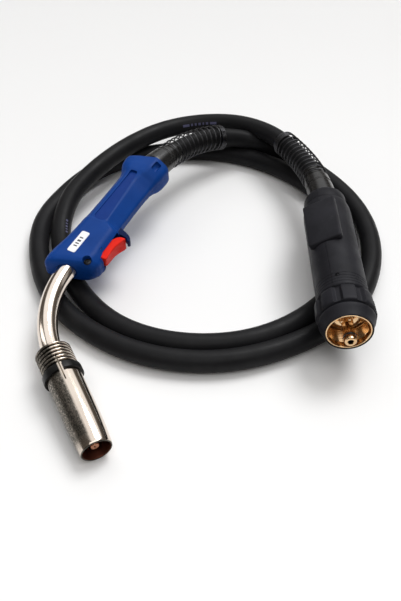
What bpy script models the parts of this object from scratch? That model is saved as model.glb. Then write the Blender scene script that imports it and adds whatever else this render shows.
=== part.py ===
"""A gas-cooled MIG welding torch: bent neck and gas nozzle, handle with a trigger, and a coiled power
cable that ends in a central connector. The torch lies on its side on the floor, z = 0, resting on its
nozzle and on the coils of its own cable. The model is in metres with +Z up; every length given below
is in millimetres, and the helper functions turn them into metres."""

import math

import bmesh
import bpy
import numpy as np
from mathutils import Matrix, Vector

MM = 0.001

# Cable
CABLE_RADIUS = 10.0
CABLE_POINTS = 80

# Neck and nozzle, measured along the nozzle axis from the mouth
NECK_BEND = math.radians(53.5)
NECK_BEND_RADIUS = 110.0
NECK_BEND_STEPS = 13
NECK_RADIUS = 9.0
NECK_BORE_RADIUS = 5.4
NECK_INNER_RADIUS = 5.0
NECK_FRONT = 84.3
NECK_INSIDE_HANDLE = 85.0
CORNER_TO_MOUTH = 154.6
CORNER_FORWARD = 5.1
NOZZLE_LENGTH = 104.0
NOZZLE_RADIUS = 15.0
NOZZLE_BORE = 11.6
NOZZLE_REAR_BORE = 12.4
MOUTH_RADIUS = 13.0
RIB_COUNT = 6
RIB_PITCH = 3.6
RIB_RADIUS = 15.8
RIB_ROOT_RADIUS = 14.2
SLIT_WIDTH = 1.2
SLIT_FROM, SLIT_TO = 63.5, 90.0
CLIP_FROM, CLIP_TO = 73.5, 80.5
CLIP_RADIUS = 17.2
CLIP_OPENING = 4.4

# Handle, in the torch's own frame: +Y runs along the handle to its rear, +X is the trigger side
HALF_SEAM = 0.15
WALL = 2.6
LABEL_TOP = 15.7
TRIGGER_PIVOT = Vector((20.5, 76.0, 0.0))
TRIGGER_HALF_WIDTH = 9.3
POCKET_HALF_WIDTH = 9.8
PIVOT_BORE_RADIUS = 1.5
PIVOT_PIN_RADIUS = 1.2
PIVOT_PIN_LENGTH = 24.0
SCREW_PLACE = Vector((18.0, 57.5, 0.0))
SLOT_RING = 20.0
SLOT_LEAN = math.radians(42.0)
FAR = 60.0

# How the torch lies on the floor
CORNER_PLACE = Vector((-55.6, -20.3, 28.9))
HEADING = math.radians(-27.5)
PITCH = math.radians(7.1)
ROLL = math.radians(-1.7)

# Connector, measured along its axis from the front rim of its nut
CONNECTOR_PLACE = Vector((212.9, -68.3, 46.3))
CONNECTOR_CLOCK = math.radians(-29.0)
SHELL_RADIUS = 23.0
SHELL_BORE = 19.8
SHELL_FROM, SHELL_TO = 33.3, 177.5
HOUSING_REAR_BEFORE_CABLE_END = 102.9
NUT_LENGTH = 32.8
LOBES = 8
SCALLOP_RADIUS = 8.0
SCALLOP_RING = 31.9
GAS_PIN_RADIUS = 5.2
PIN_ANGLES = (math.radians(3.0), math.radians(37.0))
PIN_RING = 11.0

# Springs: the wire of the two bend springs, and of the springs under the trigger and the contact pins
BEND_WIRE_RADIUS = 0.8
BEND_SPRING_RADII = (11.8, 11.9, 12.2, 12.7, 13.1, 13.3, 13.4)
TRIGGER_WIRE_RADIUS = 0.3
PIN_WIRE_RADIUS = 0.25

ACROSS_Y = (math.pi / 2, 0.0, 0.0)


def clear_scene():
    for obj in list(bpy.data.objects):
        bpy.data.objects.remove(obj, do_unlink=True)


def new_collection(name, parent=None):
    made = bpy.data.collections.new(name)
    (parent or bpy.context.scene.collection).children.link(made)
    return made


clear_scene()
TORCH = new_collection("mig_welding_torch")
CUTTERS = new_collection("cutters")


def material(name, colour, roughness, metallic=0.0):
    made = bpy.data.materials.new(name)
    made.use_nodes = True
    shader = made.node_tree.nodes["Principled BSDF"]
    shader.inputs["Base Color"].default_value = (*colour, 1.0)
    shader.inputs["Roughness"].default_value = roughness
    shader.inputs["Metallic"].default_value = metallic
    return made


BLUE = material("blue_plastic", (0.012, 0.075, 0.33), 0.42)
RED = material("red_plastic", (0.72, 0.04, 0.03), 0.38)
BLACK_RUBBER = material("black_rubber", (0.030, 0.030, 0.032), 0.6)
BLACK_PLASTIC = material("black_plastic", (0.045, 0.045, 0.050), 0.5)
NICKEL = material("nickel_plate", (0.78, 0.74, 0.69), 0.14, 1.0)
COPPER = material("copper", (0.72, 0.33, 0.2), 0.3, 1.0)
BRASS = material("brass", (0.78, 0.55, 0.25), 0.2, 1.0)
STEEL = material("steel", (0.5, 0.5, 0.5), 0.3, 1.0)
SPRING_STEEL = material("blackened_spring_steel", (0.03, 0.03, 0.032), 0.35, 0.6)
WHITE = material("white_label", (0.85, 0.85, 0.83), 0.5)
CREAM = material("cream_insulator", (0.75, 0.7, 0.6), 0.5)
NAVY = material("dark_switch_plastic", (0.02, 0.02, 0.03), 0.5)


def empty(name, matrix, parent=None):
    made = bpy.data.objects.new(name, None)
    TORCH.objects.link(made)
    made.empty_display_size = 0.01
    made.parent = parent
    made.matrix_local = matrix
    return made


def add(name, data, look, parent, location=(0, 0, 0), rotation=(0, 0, 0), cutter=False):
    """The object in its collection: a node with its material, or a hidden cutter."""
    made = bpy.data.objects.new(name, data)
    (CUTTERS if cutter else TORCH).objects.link(made)
    if look:
        data.materials.append(look)
    made.parent = parent
    made.location = Vector(location) * MM
    made.rotation_euler = rotation
    if cutter:
        made.hide_render = True
        made.display_type = "WIRE"
    return made


def mesh_of(name, build):
    """A mesh that the function builds with bmesh."""
    shape = bmesh.new()
    build(shape)
    bmesh.ops.recalc_face_normals(shape, faces=shape.faces)
    data = bpy.data.meshes.new(name)
    shape.to_mesh(data)
    shape.free()
    return data


def smooth(obj, angle=35.0):
    obj.data.shade_smooth()
    obj.data.set_sharp_from_angle(angle=math.radians(angle))
    return obj


def box(name, low, high, look, parent, cutter=False, rotation=(0, 0, 0), location=None):
    """A box from corner to corner, or one centred on its own middle and set at a place of its own."""
    low, high = Vector(low), Vector(high)

    def build(shape):
        bmesh.ops.create_cube(shape, size=1.0)
        bmesh.ops.scale(shape, vec=(high - low) * MM, verts=shape.verts)

    centre = (low + high) / 2 if location is None else Vector(location)
    return add(name, mesh_of(name, build), look, parent, centre, rotation, cutter)


def soften(obj, width, angle=None):
    """Bevelled edges; with an angle, only the edges sharper than it."""
    edges = obj.modifiers.new("edges", "BEVEL")
    edges.width = width * MM
    edges.segments = 2
    if angle:
        edges.limit_method = "ANGLE"
        edges.angle_limit = math.radians(angle)


def cylinder(name, radius, length, look, parent, location, rotation=(0, 0, 0), sides=24, cutter=False):
    """A cylinder along its own Z, centred on the location."""

    def build(shape):
        size = radius * MM
        bmesh.ops.create_cone(
            shape, cap_ends=True, segments=sides, radius1=size, radius2=size, depth=length * MM
        )

    made = add(name, mesh_of(name, build), look, parent, location, rotation, cutter)
    return made if cutter else smooth(made)


def turned(name, profile, look, parent, sides=32, closed=False, cutter=False, location=(0, 0, 0)):
    """A profile of (radius, height) turned about the local Z; it runs down its outer side."""
    data = bpy.data.meshes.new(name)
    points = [(r * MM, 0.0, z * MM) for r, z in profile]
    edges = [(i, i + 1) for i in range(len(points) - 1)]
    if closed:
        edges.append((len(points) - 1, 0))
    data.from_pydata(points, edges, [])
    made = add(name, data, look, parent, location, cutter=cutter)
    screw = made.modifiers.new("turn", "SCREW")
    screw.axis = "Z"
    screw.angle = 2 * math.pi
    screw.steps = sides
    screw.render_steps = sides
    screw.use_merge_vertices = True
    screw.merge_threshold = 0.00001
    screw.use_smooth_shade = True
    return made


def cut(obj, other, operation="DIFFERENCE"):
    step = obj.modifiers.new(other.name, "BOOLEAN")
    step.operation = operation
    step.object = other
    step.solver = "EXACT"
    return obj


def poly_curve(name, points, radius, look, parent, resolution=2, swell=None):
    """A round tube or wire through the points, with filled ends; `swell` scales its radius at each."""
    data = bpy.data.curves.new(name, "CURVE")
    data.dimensions = "3D"
    data.bevel_depth = radius * MM
    data.bevel_resolution = resolution
    data.use_fill_caps = True
    line = data.splines.new("POLY")
    line.points.add(len(points) - 1)
    for i, place in enumerate(points):
        line.points[i].co = (*(Vector(place) * MM), 1.0)
        line.points[i].radius = swell[i] if swell else 1.0
    line.use_smooth = True
    return add(name, data, look, parent)


def mesh_from_curve(curve, look=None, cutter=False):
    """The curve's evaluated tube as a mesh object with its caps welded."""
    bpy.context.view_layer.update()
    graph = bpy.context.evaluated_depsgraph_get()
    data = bpy.data.meshes.new_from_object(curve.evaluated_get(graph))
    shape = bmesh.new()
    shape.from_mesh(data)
    bmesh.ops.remove_doubles(shape, verts=shape.verts, dist=1e-6)
    bmesh.ops.recalc_face_normals(shape, faces=shape.faces)
    shape.to_mesh(data)
    shape.free()
    name, parent = curve.name, curve.parent
    bpy.data.objects.remove(curve, do_unlink=True)
    return add(name, data, look, parent, cutter=cutter)


def rounded_section(left, right, half, corner, count):
    """Points round a rounded rectangle in X and Z."""
    corner = min(corner, half - 0.01, (right - left) / 2 - 0.01)
    points = []
    corners = (
        (right - corner, half - corner, 0.0),
        (left + corner, half - corner, 90.0),
        (left + corner, -half + corner, 180.0),
        (right - corner, -half + corner, 270.0),
    )
    for x, z, start in corners:
        for i in range(count + 1):
            angle = math.radians(start + 90.0 * i / count)
            points.append((x + corner * math.cos(angle), z + corner * math.sin(angle)))
    return points


def loft(name, stations, look, parent, count=5, cutter=False):
    """A solid through rounded sections: each is (y, left, right, half thickness, corner, shear)."""

    def build(shape):
        rings = []
        for y, left, right, half, corner, shear in stations:
            ring = []
            for x, z in rounded_section(left, right, half, corner, count):
                ring.append(shape.verts.new((x * MM, (y + shear * x) * MM, z * MM)))
            rings.append(ring)
        size = len(rings[0])
        for first, second in zip(rings, rings[1:]):
            for i in range(size):
                j = (i + 1) % size
                shape.faces.new((first[i], first[j], second[j], second[i]))
        shape.faces.new(rings[0])
        shape.faces.new(rings[-1])

    return add(name, mesh_of(name, build), look, parent, cutter=cutter)


def extruded(name, outline, low, high, look, parent, cutter=False):
    """A flat outline in X and Y extruded in Z from low to high."""

    def build(shape):
        bottom = [shape.verts.new((x * MM, y * MM, low * MM)) for x, y in outline]
        face = shape.faces.new(bottom)
        moved = bmesh.ops.extrude_face_region(shape, geom=[face])
        verts = [v for v in moved["geom"] if isinstance(v, bmesh.types.BMVert)]
        bmesh.ops.translate(shape, vec=(0, 0, (high - low) * MM), verts=verts)

    return add(name, mesh_of(name, build), look, parent, cutter=cutter)


# ---------------------------------------------------------------- frames

lie = (
    Matrix.Translation(CORNER_PLACE * MM)
    @ Matrix.Rotation(PITCH, 4, "X")
    @ Matrix.Rotation(ROLL, 4, "Y")
    @ Matrix.Rotation(HEADING, 4, "Z")
)
torch_frame = empty("torch_frame", lie)

# The nozzle frame: origin at the mouth, +Z back along the nozzle, +Y up through the label side
forward = Vector((math.sin(NECK_BEND), -math.cos(NECK_BEND), 0.0))
sideways = Vector((math.cos(NECK_BEND), math.sin(NECK_BEND), 0.0))
nozzle_rotation = Matrix((-sideways, (0, 0, 1), -forward)).transposed().to_4x4()
corner = Vector((0.0, -CORNER_FORWARD, 0.0))
mouth_place = corner + forward * CORNER_TO_MOUTH
nozzle_matrix = Matrix.Translation(mouth_place * MM) @ nozzle_rotation
nozzle_frame = empty("nozzle_frame", nozzle_matrix, torch_frame)

# The connector frame: origin at the rim, +Z back along the connector, +Y up
connector_rotation = Matrix(((-1, 0, 0), (0, 0, 1), (0, 1, 0))).transposed().to_4x4()
connector_matrix = Matrix.Translation(CONNECTOR_PLACE * MM) @ connector_rotation
connector_frame = empty("connector_frame", connector_matrix)
clock_frame = empty("clock_frame", Matrix.Rotation(CONNECTOR_CLOCK, 4, "Z"), connector_frame)

# ---------------------------------------------------------------- nozzle and consumables

outer = [(14.0, NOZZLE_LENGTH)]
for rib in range(RIB_COUNT):
    top = NOZZLE_LENGTH - 0.6 - rib * RIB_PITCH
    outer += [
        (RIB_ROOT_RADIUS, top), (RIB_RADIUS, top - 0.6), (RIB_RADIUS, top - 2.0), (RIB_ROOT_RADIUS, top - 2.6)
    ]
outer += [
    (NOZZLE_RADIUS, NOZZLE_LENGTH - 0.6 - RIB_COUNT * RIB_PITCH), (NOZZLE_RADIUS, 32.0),
    (NOZZLE_RADIUS - 0.4, 20.0), (NOZZLE_RADIUS - 1.1, 10.0),
    (MOUTH_RADIUS + 0.2, 1.4), (MOUTH_RADIUS - 0.3, 0.0),
]
inner = [
    (NOZZLE_BORE, 0.0), (NOZZLE_BORE, 58.0), (NOZZLE_REAR_BORE, 60.0), (NOZZLE_REAR_BORE, NOZZLE_LENGTH)
]
nozzle = turned("gas_nozzle", outer + inner, NICKEL, nozzle_frame, sides=24, closed=True)
for slit_name, near, far in (("slit_upper", 8, 20), ("slit_lower", -20, -8)):
    slit = box(
        slit_name, (-SLIT_WIDTH / 2, near, SLIT_FROM), (SLIT_WIDTH / 2, far, SLIT_TO),
        None, nozzle_frame, cutter=True,
    )
    cut(nozzle, slit)

clip_bore = NOZZLE_RADIUS + 0.3
clip = turned(
    "nozzle_clip_ring",
    [(CLIP_RADIUS, CLIP_TO - 0.5), (CLIP_RADIUS, CLIP_FROM + 0.5), (CLIP_RADIUS - 0.5, CLIP_FROM),
     (clip_bore, CLIP_FROM), (clip_bore, CLIP_TO), (CLIP_RADIUS - 0.5, CLIP_TO)],
    BLACK_PLASTIC, nozzle_frame, sides=24, closed=True,
)
clip_gap = box(
    "clip_gap", (-CLIP_OPENING / 2, 8, CLIP_FROM - 2), (CLIP_OPENING / 2, 22, CLIP_TO + 2),
    None, nozzle_frame, cutter=True,
)
cut(clip, clip_gap)

turned(
    "contact_tip",
    [(0, 36), (5, 36), (5, 10), (3.4, 4), (0.9, 4), (0.9, 22), (0, 22)],
    COPPER, nozzle_frame, sides=16,
)
turned("tip_holder", [(0, 60), (7.8, 60), (7.8, 38), (6.6, 36.3), (0, 36.3)], COPPER, nozzle_frame, sides=16)
diffuser = turned(
    "gas_diffuser", [(0, 84), (10, 84), (10, 61.5), (8.8, 60.3), (0, 60.3)], CREAM, nozzle_frame, sides=20
)
for turn in range(2):
    hole = cylinder(
        f"diffuser_hole_{turn + 1}", 1.3, 30, None, nozzle_frame, (0, 0, 66),
        (math.pi / 2, 0, math.radians(45 + 90 * turn)), sides=8, cutter=True,
    )
    cut(diffuser, hole)
insulator_rear = NOZZLE_LENGTH + 1.2
turned(
    "nozzle_insulator",
    [(12.1, insulator_rear), (12.1, 70), (10.3, 70), (10.3, insulator_rear)],
    CREAM, nozzle_frame, sides=24, closed=True,
)

# ---------------------------------------------------------------- neck

tangent = NECK_BEND_RADIUS * math.tan(NECK_BEND / 2)
bend_centre = corner + Vector((NECK_BEND_RADIUS, tangent, 0.0))


def neck_points(front, back):
    """The neck's centre line from `front` behind the mouth to `back` behind the corner."""
    points = [mouth_place - forward * front]
    for i in range(NECK_BEND_STEPS + 1):
        angle = NECK_BEND * (1 - i / NECK_BEND_STEPS)
        around = Vector((-math.cos(angle), -math.sin(angle), 0.0))
        points.append(bend_centre + around * NECK_BEND_RADIUS)
    points.append(Vector((0.0, back, 0.0)))
    return points


neck_line = neck_points(NECK_FRONT, NECK_INSIDE_HANDLE)
neck = mesh_from_curve(poly_curve("neck_outer_tube", neck_line, NECK_RADIUS, None, torch_frame, 6), NICKEL)
bore_line = neck_points(NECK_FRONT - 5, NECK_INSIDE_HANDLE + 5)
bore_curve = poly_curve("neck_bore", bore_line, NECK_BORE_RADIUS, None, torch_frame, 4)
cut(neck, mesh_from_curve(bore_curve, cutter=True))
smooth(neck)
poly_curve("neck_inner_tube", neck_line, NECK_INNER_RADIUS, COPPER, torch_frame, 3)

cylinder("neck_nut", 8.2, 17.4, BRASS, torch_frame, (0, 94.0, 0), ACROSS_Y, sides=6)
cylinder("cable_coupler", 8.0, 22.0, BRASS, torch_frame, (0, 114.0, 0), ACROSS_Y, sides=16)
cylinder("inner_hose", 7.0, 60.0, BLACK_RUBBER, torch_frame, (0, 155.6, 0), ACROSS_Y, sides=16)

# ---------------------------------------------------------------- handle shells

HANDLE_STATIONS = [
    (47.0, -18.0, 23.0, 11.5, 6.0, 0.33),
    (49.5, -20.5, 26.0, 14.2, 7.0, 0.33),
    (57.0, -21.5, 26.5, 15.0, 8.0, 0.24),
    (68.0, -19.5, 25.5, 15.0, 8.0, 0.10),
    (80.0, -17.5, 25.0, 15.0, 8.0, 0.0),
    (100.0, -17.0, 25.0, 15.0, 8.0, 0.0),
    (103.0, -17.0, 24.5, 15.0, 8.0, 0.0),
    (106.0, -17.0, 22.0, 14.2, 9.5, 0.0),
    (116.0, -16.7, 18.2, 14.0, 10.0, 0.0),
    (150.0, -16.5, 17.5, 14.0, 10.0, 0.0),
    (172.0, -16.8, 17.8, 14.2, 10.0, 0.0),
    (179.0, -18.0, 19.0, 15.8, 11.0, 0.0),
    (187.0, -20.5, 21.0, 18.4, 13.0, 0.0),
    (196.0, -21.2, 21.6, 19.0, 14.0, 0.0),
    (202.0, -20.4, 20.8, 18.4, 14.0, 0.0),
    (204.0, -19.0, 19.4, 17.2, 13.0, 0.0),
]
CAVITY_MIDDLE = [
    (y, left + WALL, right - WALL, half - WALL, max(corner - WALL, 2.0), 0.0)
    for y, left, right, half, corner, shear in HANDLE_STATIONS
    if 70.0 < y < 190.0
]
CAVITY_FRONT = (70.0, -16.0, 20.0, 12.4, 5.5, 0.0)
CAVITY_REAR = (199.0, -16.0, 16.0, 14.5, 13.0, 0.0)

CAVITY_STATIONS = [CAVITY_FRONT, *CAVITY_MIDDLE, CAVITY_REAR]
cavity = loft("handle_cavity", CAVITY_STATIONS, None, torch_frame, count=3, cutter=True)
neck_hole = cylinder(
    "neck_hole", NECK_RADIUS + 0.3, 60, None, torch_frame, (0, 55, 0), ACROSS_Y, sides=32, cutter=True
)
rear_hole = cylinder("rear_hole", 15.0, 30, None, torch_frame, (0, 205, 0), ACROSS_Y, sides=24, cutter=True)
trigger_pocket = box(
    "trigger_pocket", (12, 71, -POCKET_HALF_WIDTH), (45, 101.8, POCKET_HALF_WIDTH),
    None, torch_frame, cutter=True,
)
pin_hole = cylinder(
    "pin_hole", PIVOT_BORE_RADIUS, 25.4, None, torch_frame, TRIGGER_PIVOT, sides=12, cutter=True
)
head_place = SCREW_PLACE + Vector((0, 0, 15))
head_hole = cylinder("head_hole", 4.0, 8, None, torch_frame, head_place, sides=16, cutter=True)
shank_place = SCREW_PLACE + Vector((0, 0, 1))
shank_hole = cylinder("shank_hole", 2.0, 22, None, torch_frame, shank_place, sides=12, cutter=True)
panel = box("panel_recess", (-8.5, 106, 13.4), (3.5, 178, 20), None, torch_frame, cutter=True)
slot_place = (SLOT_RING * math.sin(SLOT_LEAN), 195.5, SLOT_RING * math.cos(SLOT_LEAN))
rear_slot = box(
    "rear_slot", (-2.2, -5, -10), (2.2, 5, 10), None, torch_frame, cutter=True,
    rotation=(0, SLOT_LEAN, 0), location=slot_place,
)
upper_half = box("upper_half", (-FAR, 20, HALF_SEAM), (FAR, 230, FAR), None, torch_frame, cutter=True)
lower_half = box("lower_half", (-FAR, 20, -FAR), (FAR, 230, -HALF_SEAM), None, torch_frame, cutter=True)
guard = extruded(
    "guard_lug", [(20, 102.0), (34, 102.0), (34.5, 103.5), (33, 105.6), (26, 108.5), (20, 110)], -7, 7,
    None, torch_frame, cutter=True,
)

for side, half in (("upper", upper_half), ("lower", lower_half)):
    shell = loft(f"handle_shell_{side}", HANDLE_STATIONS, BLUE, torch_frame, count=5)
    cut(shell, guard, "UNION")
    for cutter in (cavity, neck_hole, rear_hole, trigger_pocket, pin_hole, shank_hole):
        cut(shell, cutter)
    if side == "upper":
        for cutter in (head_hole, panel, rear_slot):
            cut(shell, cutter)
    cut(shell, half, "INTERSECT")
    smooth(shell)

turned(
    "handle_screw",
    [(0, 14.0), (3.6, 14.0), (3.6, 11.4), (1.7, 11.4), (1.7, -9.5), (0, -9.5)],
    STEEL, torch_frame, sides=12, location=SCREW_PLACE,
)
box("label_plate", (-5.0, 59.0, LABEL_TOP - 0.4), (4.0, 86.0, LABEL_TOP), WHITE, torch_frame)

# ---------------------------------------------------------------- trigger and switch

TRIGGER_OUTLINE = [
    (17.0, 72.3), (25.0, 71.8), (27.8, 72.6), (28.2, 78.0), (28.6, 84.0), (29.6, 90.0), (31.4, 95.5),
    (33.6, 99.5), (32.6, 100.3), (24.0, 100.3), (19.0, 99.5), (19.0, 80.0), (17.0, 79.5),
]
trigger = extruded("trigger", TRIGGER_OUTLINE, -TRIGGER_HALF_WIDTH, TRIGGER_HALF_WIDTH, RED, torch_frame)
soften(trigger, 0.8, angle=50)
trigger_bore = cylinder(
    "trigger_bore", PIVOT_BORE_RADIUS, 30, None, torch_frame, TRIGGER_PIVOT, sides=12, cutter=True
)
cut(trigger, trigger_bore)
smooth(trigger)
cylinder("trigger_pin", PIVOT_PIN_RADIUS, PIVOT_PIN_LENGTH, STEEL, torch_frame, TRIGGER_PIVOT, sides=12)
switch_body = box("switch_body", (8.6, 85.6, -5.0), (14.2, 100.0, 5.0), NAVY, torch_frame)
plunger_hole = box("plunger_hole", (12.0, 93.6, -1.9), (16.0, 97.4, 1.9), None, torch_frame, cutter=True)
cut(switch_body, plunger_hole)
box("switch_plunger", (14.5, 94.0, -1.5), (18.7, 97.0, 1.5), RED, torch_frame)


def small_coil(name, radius, length, turns, wire, parent, place, axis, per_turn=7):
    """A cylindrical spring whose axis starts at `place`."""
    axis = Vector(axis)
    side = axis.orthogonal().normalized()
    other = axis.cross(side)
    points = []
    count = int(turns * per_turn)
    for i in range(count + 1):
        share = i / count
        angle = 2 * math.pi * turns * share
        across = side * math.cos(angle) + other * math.sin(angle)
        points.append(Vector(place) + axis * length * share + across * radius)
    return poly_curve(name, points, wire, SPRING_STEEL, parent, resolution=0)


small_coil("trigger_spring", 2.2, 4.0, 3.5, TRIGGER_WIRE_RADIUS, torch_frame, (14.6, 89.0, 0.0), (1, 0, 0))

# ---------------------------------------------------------------- cable

# The cable's centre line: out of the handle, down to the floor, once round the outer loop and once round
# the inner one, up past the first turn and straight into the connector's ferrule
ROUTE = [
    (30.4, 144.7, 52.6), (58.4, 188.7, 51.1), (112.9, 243.7, 37.1), (148.9, 255.2, 25.1),
    (185.9, 248.2, 13.1), (220.4, 214.2, 10.1), (250.4, 160.7, 10.1), (261.4, 102.7, 10.1),
    (252.9, 45.7, 10.1), (221.9, -10.3, 10.1), (168.4, -49.5, 10.1), (107.4, -67.6, 10.1),
    (44.4, -61.0, 10.1), (-10.6, -30.8, 10.1), (-49.6, 14.7, 10.1), (-70.1, 72.7, 10.1),
    (-72.1, 131.7, 10.1), (-59.6, 166.7, 10.1), (-23.6, 220.7, 10.1), (28.9, 250.7, 10.1),
    (92.4, 257.7, 10.1), (140.9, 245.7, 10.1), (183.9, 217.7, 10.1), (219.4, 173.7, 10.1),
    (238.4, 109.7, 10.1), (229.9, 45.7, 10.1), (194.9, -5.3, 10.1), (140.4, -40.3, 10.1),
    (79.4, -47.8, 10.1), (20.4, -28.3, 10.1), (-21.6, 15.7, 10.1), (-46.1, 71.7, 10.6),
    (-52.1, 100.2, 12.1), (-45.6, 150.2, 24.6), (-27.1, 181.7, 31.6), (10.4, 234.7, 32.6),
    (60.9, 278.0, 29.6), (123.9, 281.2, 33.0), (168.4, 246.7, 39.4), (197.4, 193.7, 42.1),
    (208.9, 149.7, 45.1), (212.8, 109.7, 46.3), (212.9, 63.7, 46.3), (212.9, 7.7, 46.3),
]


def spline_through(knots, count):
    """`count` points evenly spaced along a natural cubic spline through the knots."""
    knots = np.array(knots, float)
    steps = np.linalg.norm(np.diff(knots, axis=0), axis=1)
    along = np.concatenate([[0.0], np.cumsum(steps)])
    size = len(knots)
    system = np.eye(size)
    right = np.zeros((size, 3))
    for i in range(1, size - 1):
        before, after = steps[i - 1], steps[i]
        system[i, i - 1:i + 2] = before, 2 * (before + after), after
        right[i] = 6 * ((knots[i + 1] - knots[i]) / after - (knots[i] - knots[i - 1]) / before)
    bend = np.linalg.solve(system, right)

    def at(distance):
        i = min(max(np.searchsorted(along, distance) - 1, 0), size - 2)
        width = steps[i]
        a, b = (along[i + 1] - distance) / width, (distance - along[i]) / width
        curve = ((a ** 3 - a) * bend[i] + (b ** 3 - b) * bend[i + 1]) * width ** 2 / 6
        return a * knots[i] + b * knots[i + 1] + curve

    fine = np.array([at(d) for d in np.linspace(0, along[-1], 2000)])
    run = np.concatenate([[0.0], np.cumsum(np.linalg.norm(np.diff(fine, axis=0), axis=1))])
    wanted = np.linspace(0, run[-1], count)
    return np.stack([np.interp(wanted, run, fine[:, k]) for k in range(3)], axis=1)


cable_line = spline_through(ROUTE, CABLE_POINTS)
cable_run = np.concatenate([[0.0], np.cumsum(np.linalg.norm(np.diff(cable_line, axis=0), axis=1))])
poly_curve("power_cable", cable_line, CABLE_RADIUS, BLACK_RUBBER, None, 3)


def on_cable(distance):
    """Place and direction on the cable's centre line at a distance from its handle end."""

    def at(run):
        return Vector([np.interp(run, cable_run, cable_line[:, k]) for k in range(3)])

    return at(distance), (at(distance + 8) - at(distance - 8)).normalized()


def sleeve(name, sections):
    """A rubber sleeve round the cable, from its (distance along the cable, outer radius)."""
    places = [on_cable(distance)[0] for distance, _ in sections]
    radii = [radius for _, radius in sections]
    body = mesh_from_curve(poly_curve(name, places, 1.0, None, None, 6, radii), BLACK_RUBBER)
    steps = np.arange(sections[0][0] - 6, sections[-1][0] + 7, 6.0)
    inside = [on_cable(distance)[0] for distance in steps]
    bore_curve = poly_curve(name + "_bore", inside, CABLE_RADIUS + 0.5, None, None, 6)
    cut(body, mesh_from_curve(bore_curve, cutter=True))
    return smooth(body, 50)


def cable_coil(name, low, high, radii, turns, per_turn=10):
    """A wound wire round the cable from `low` to `high` along it."""
    points = []
    count = int(turns * per_turn)
    for i in range(count + 1):
        share = i / count
        place, ahead = on_cable(low + (high - low) * share)
        side = ahead.cross(Vector((0, 0, 1))).normalized()
        other = side.cross(ahead)
        angle = 2 * math.pi * turns * share
        radius = np.interp(share, np.linspace(0, 1, len(radii)), radii)
        points.append(place + (side * math.cos(angle) + other * math.sin(angle)) * radius)
    return poly_curve(name, points, BEND_WIRE_RADIUS, SPRING_STEEL, None, 1)


sleeve(
    "handle_cable_sleeve",
    [(9, 11.9), (18.5, 12.1), (21, 14.2), (34, 13.6), (43, 12.9), (45, 11.6), (57, 11.5)],
)
cable_coil("handle_bend_spring", 47.0, 131.0, BEND_SPRING_RADII[::-1], 13)
housing_rear = cable_run[-1] - HOUSING_REAR_BEFORE_CABLE_END
sleeve(
    "connector_cable_sleeve",
    [(housing_rear - 50, 11.5), (housing_rear - 38, 11.6), (housing_rear - 36, 13.0),
     (housing_rear - 18, 14.2), (housing_rear - 8, 15.8), (housing_rear, 16.6)],
)
cable_coil("connector_bend_spring", housing_rear - 122, housing_rear - 40, BEND_SPRING_RADII, 12)

# ---------------------------------------------------------------- connector

shell_cavity = turned(
    "shell_cavity", [(0, 172.0), (SHELL_BORE, 172.0), (SHELL_BORE, 30.0), (0, 30.0)], None, clock_frame,
    sides=32, cutter=True,
)
shell_rear_hole = cylinder("shell_rear_hole", 11.0, 30, None, clock_frame, (0, 0, 175), sides=24, cutter=True)
right_half = box("right_half", (-FAR, -FAR, 0), (-HALF_SEAM, FAR, 220), None, clock_frame, cutter=True)
left_half = box("left_half", (HALF_SEAM, -FAR, 0), (FAR, FAR, 220), None, clock_frame, cutter=True)
pad_seat = box("pad_seat", (-16.4, 18.7, 93.2), (16.4, 40, 152.8), None, clock_frame, cutter=True)
shell_screw_hole = cylinder(
    "shell_screw_hole", 1.6, 12, None, clock_frame, (-5.0, 22.0, 47.5), ACROSS_Y, sides=12, cutter=True
)
shell_profile = [
    (0, SHELL_TO), (19.2, SHELL_TO), (20.4, SHELL_TO - 1.2), (20.8, 163.4), (21.4, 162.6), (21.6, 158.0),
    (SHELL_RADIUS, 153.0), (SHELL_RADIUS, SHELL_FROM), (0, SHELL_FROM),
]
for side, half in (("right", right_half), ("left", left_half)):
    shell = turned(f"connector_shell_{side}", shell_profile, BLACK_PLASTIC, clock_frame, sides=40)
    cut(shell, shell_cavity)
    cut(shell, shell_rear_hole)
    cut(shell, pad_seat)
    if side == "right":
        cut(shell, shell_screw_hole)
    cut(shell, half, "INTERSECT")

pad = box("connector_cover_pad", (-16.0, 19.0, 93.6), (16.0, 24.6, 152.4), BLACK_PLASTIC, clock_frame)
soften(pad, 1.6)
cylinder("connector_shell_screw", 1.3, 2.2, STEEL, clock_frame, (-5.0, 21.3, 47.5), ACROSS_Y, sides=10)

nut = turned(
    "connector_nut",
    [(19.5, NUT_LENGTH), (24.6, NUT_LENGTH), (25.6, NUT_LENGTH - 1.0), (25.6, 14.6), (24.8, 13.4),
     (23.2, 13.4), (23.2, 12.2), (25.9, 12.2), (25.9, 9.0), (24.6, 5.0), (22.6, 1.8), (20.6, 0.0),
     (19.9, 0.0), (19.9, 27.4), (19.5, 27.4)],
    BLACK_PLASTIC, connector_frame, sides=40, closed=True,
)
for lobe in range(LOBES):
    angle = 2 * math.pi * (lobe + 0.5) / LOBES
    scallop = cylinder(
        f"scallop_{lobe + 1}", SCALLOP_RADIUS, 22.0, None, connector_frame,
        (SCALLOP_RING * math.cos(angle), SCALLOP_RING * math.sin(angle), 24.9), sides=20, cutter=True,
    )
    cut(nut, scallop)
turned(
    "connector_nut_insert",
    [(19.6, 27.1), (19.6, 0.6), (19.2, 0.2), (18.2, 0.2), (17.8, 0.8), (17.8, 27.1)],
    BRASS, connector_frame, sides=24, closed=True,
)
turned(
    "connector_barrel", [(0, 62.0), (17.5, 62.0), (19.1, 60.0), (19.1, 30.4), (0, 30.4)],
    BRASS, connector_frame, sides=24,
)
turned(
    "cable_ferrule", [(0, 75.4), (10.5, 75.4), (11.0, 74.9), (11.0, 62.3), (0, 62.3)],
    COPPER, connector_frame, sides=20,
)
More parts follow.
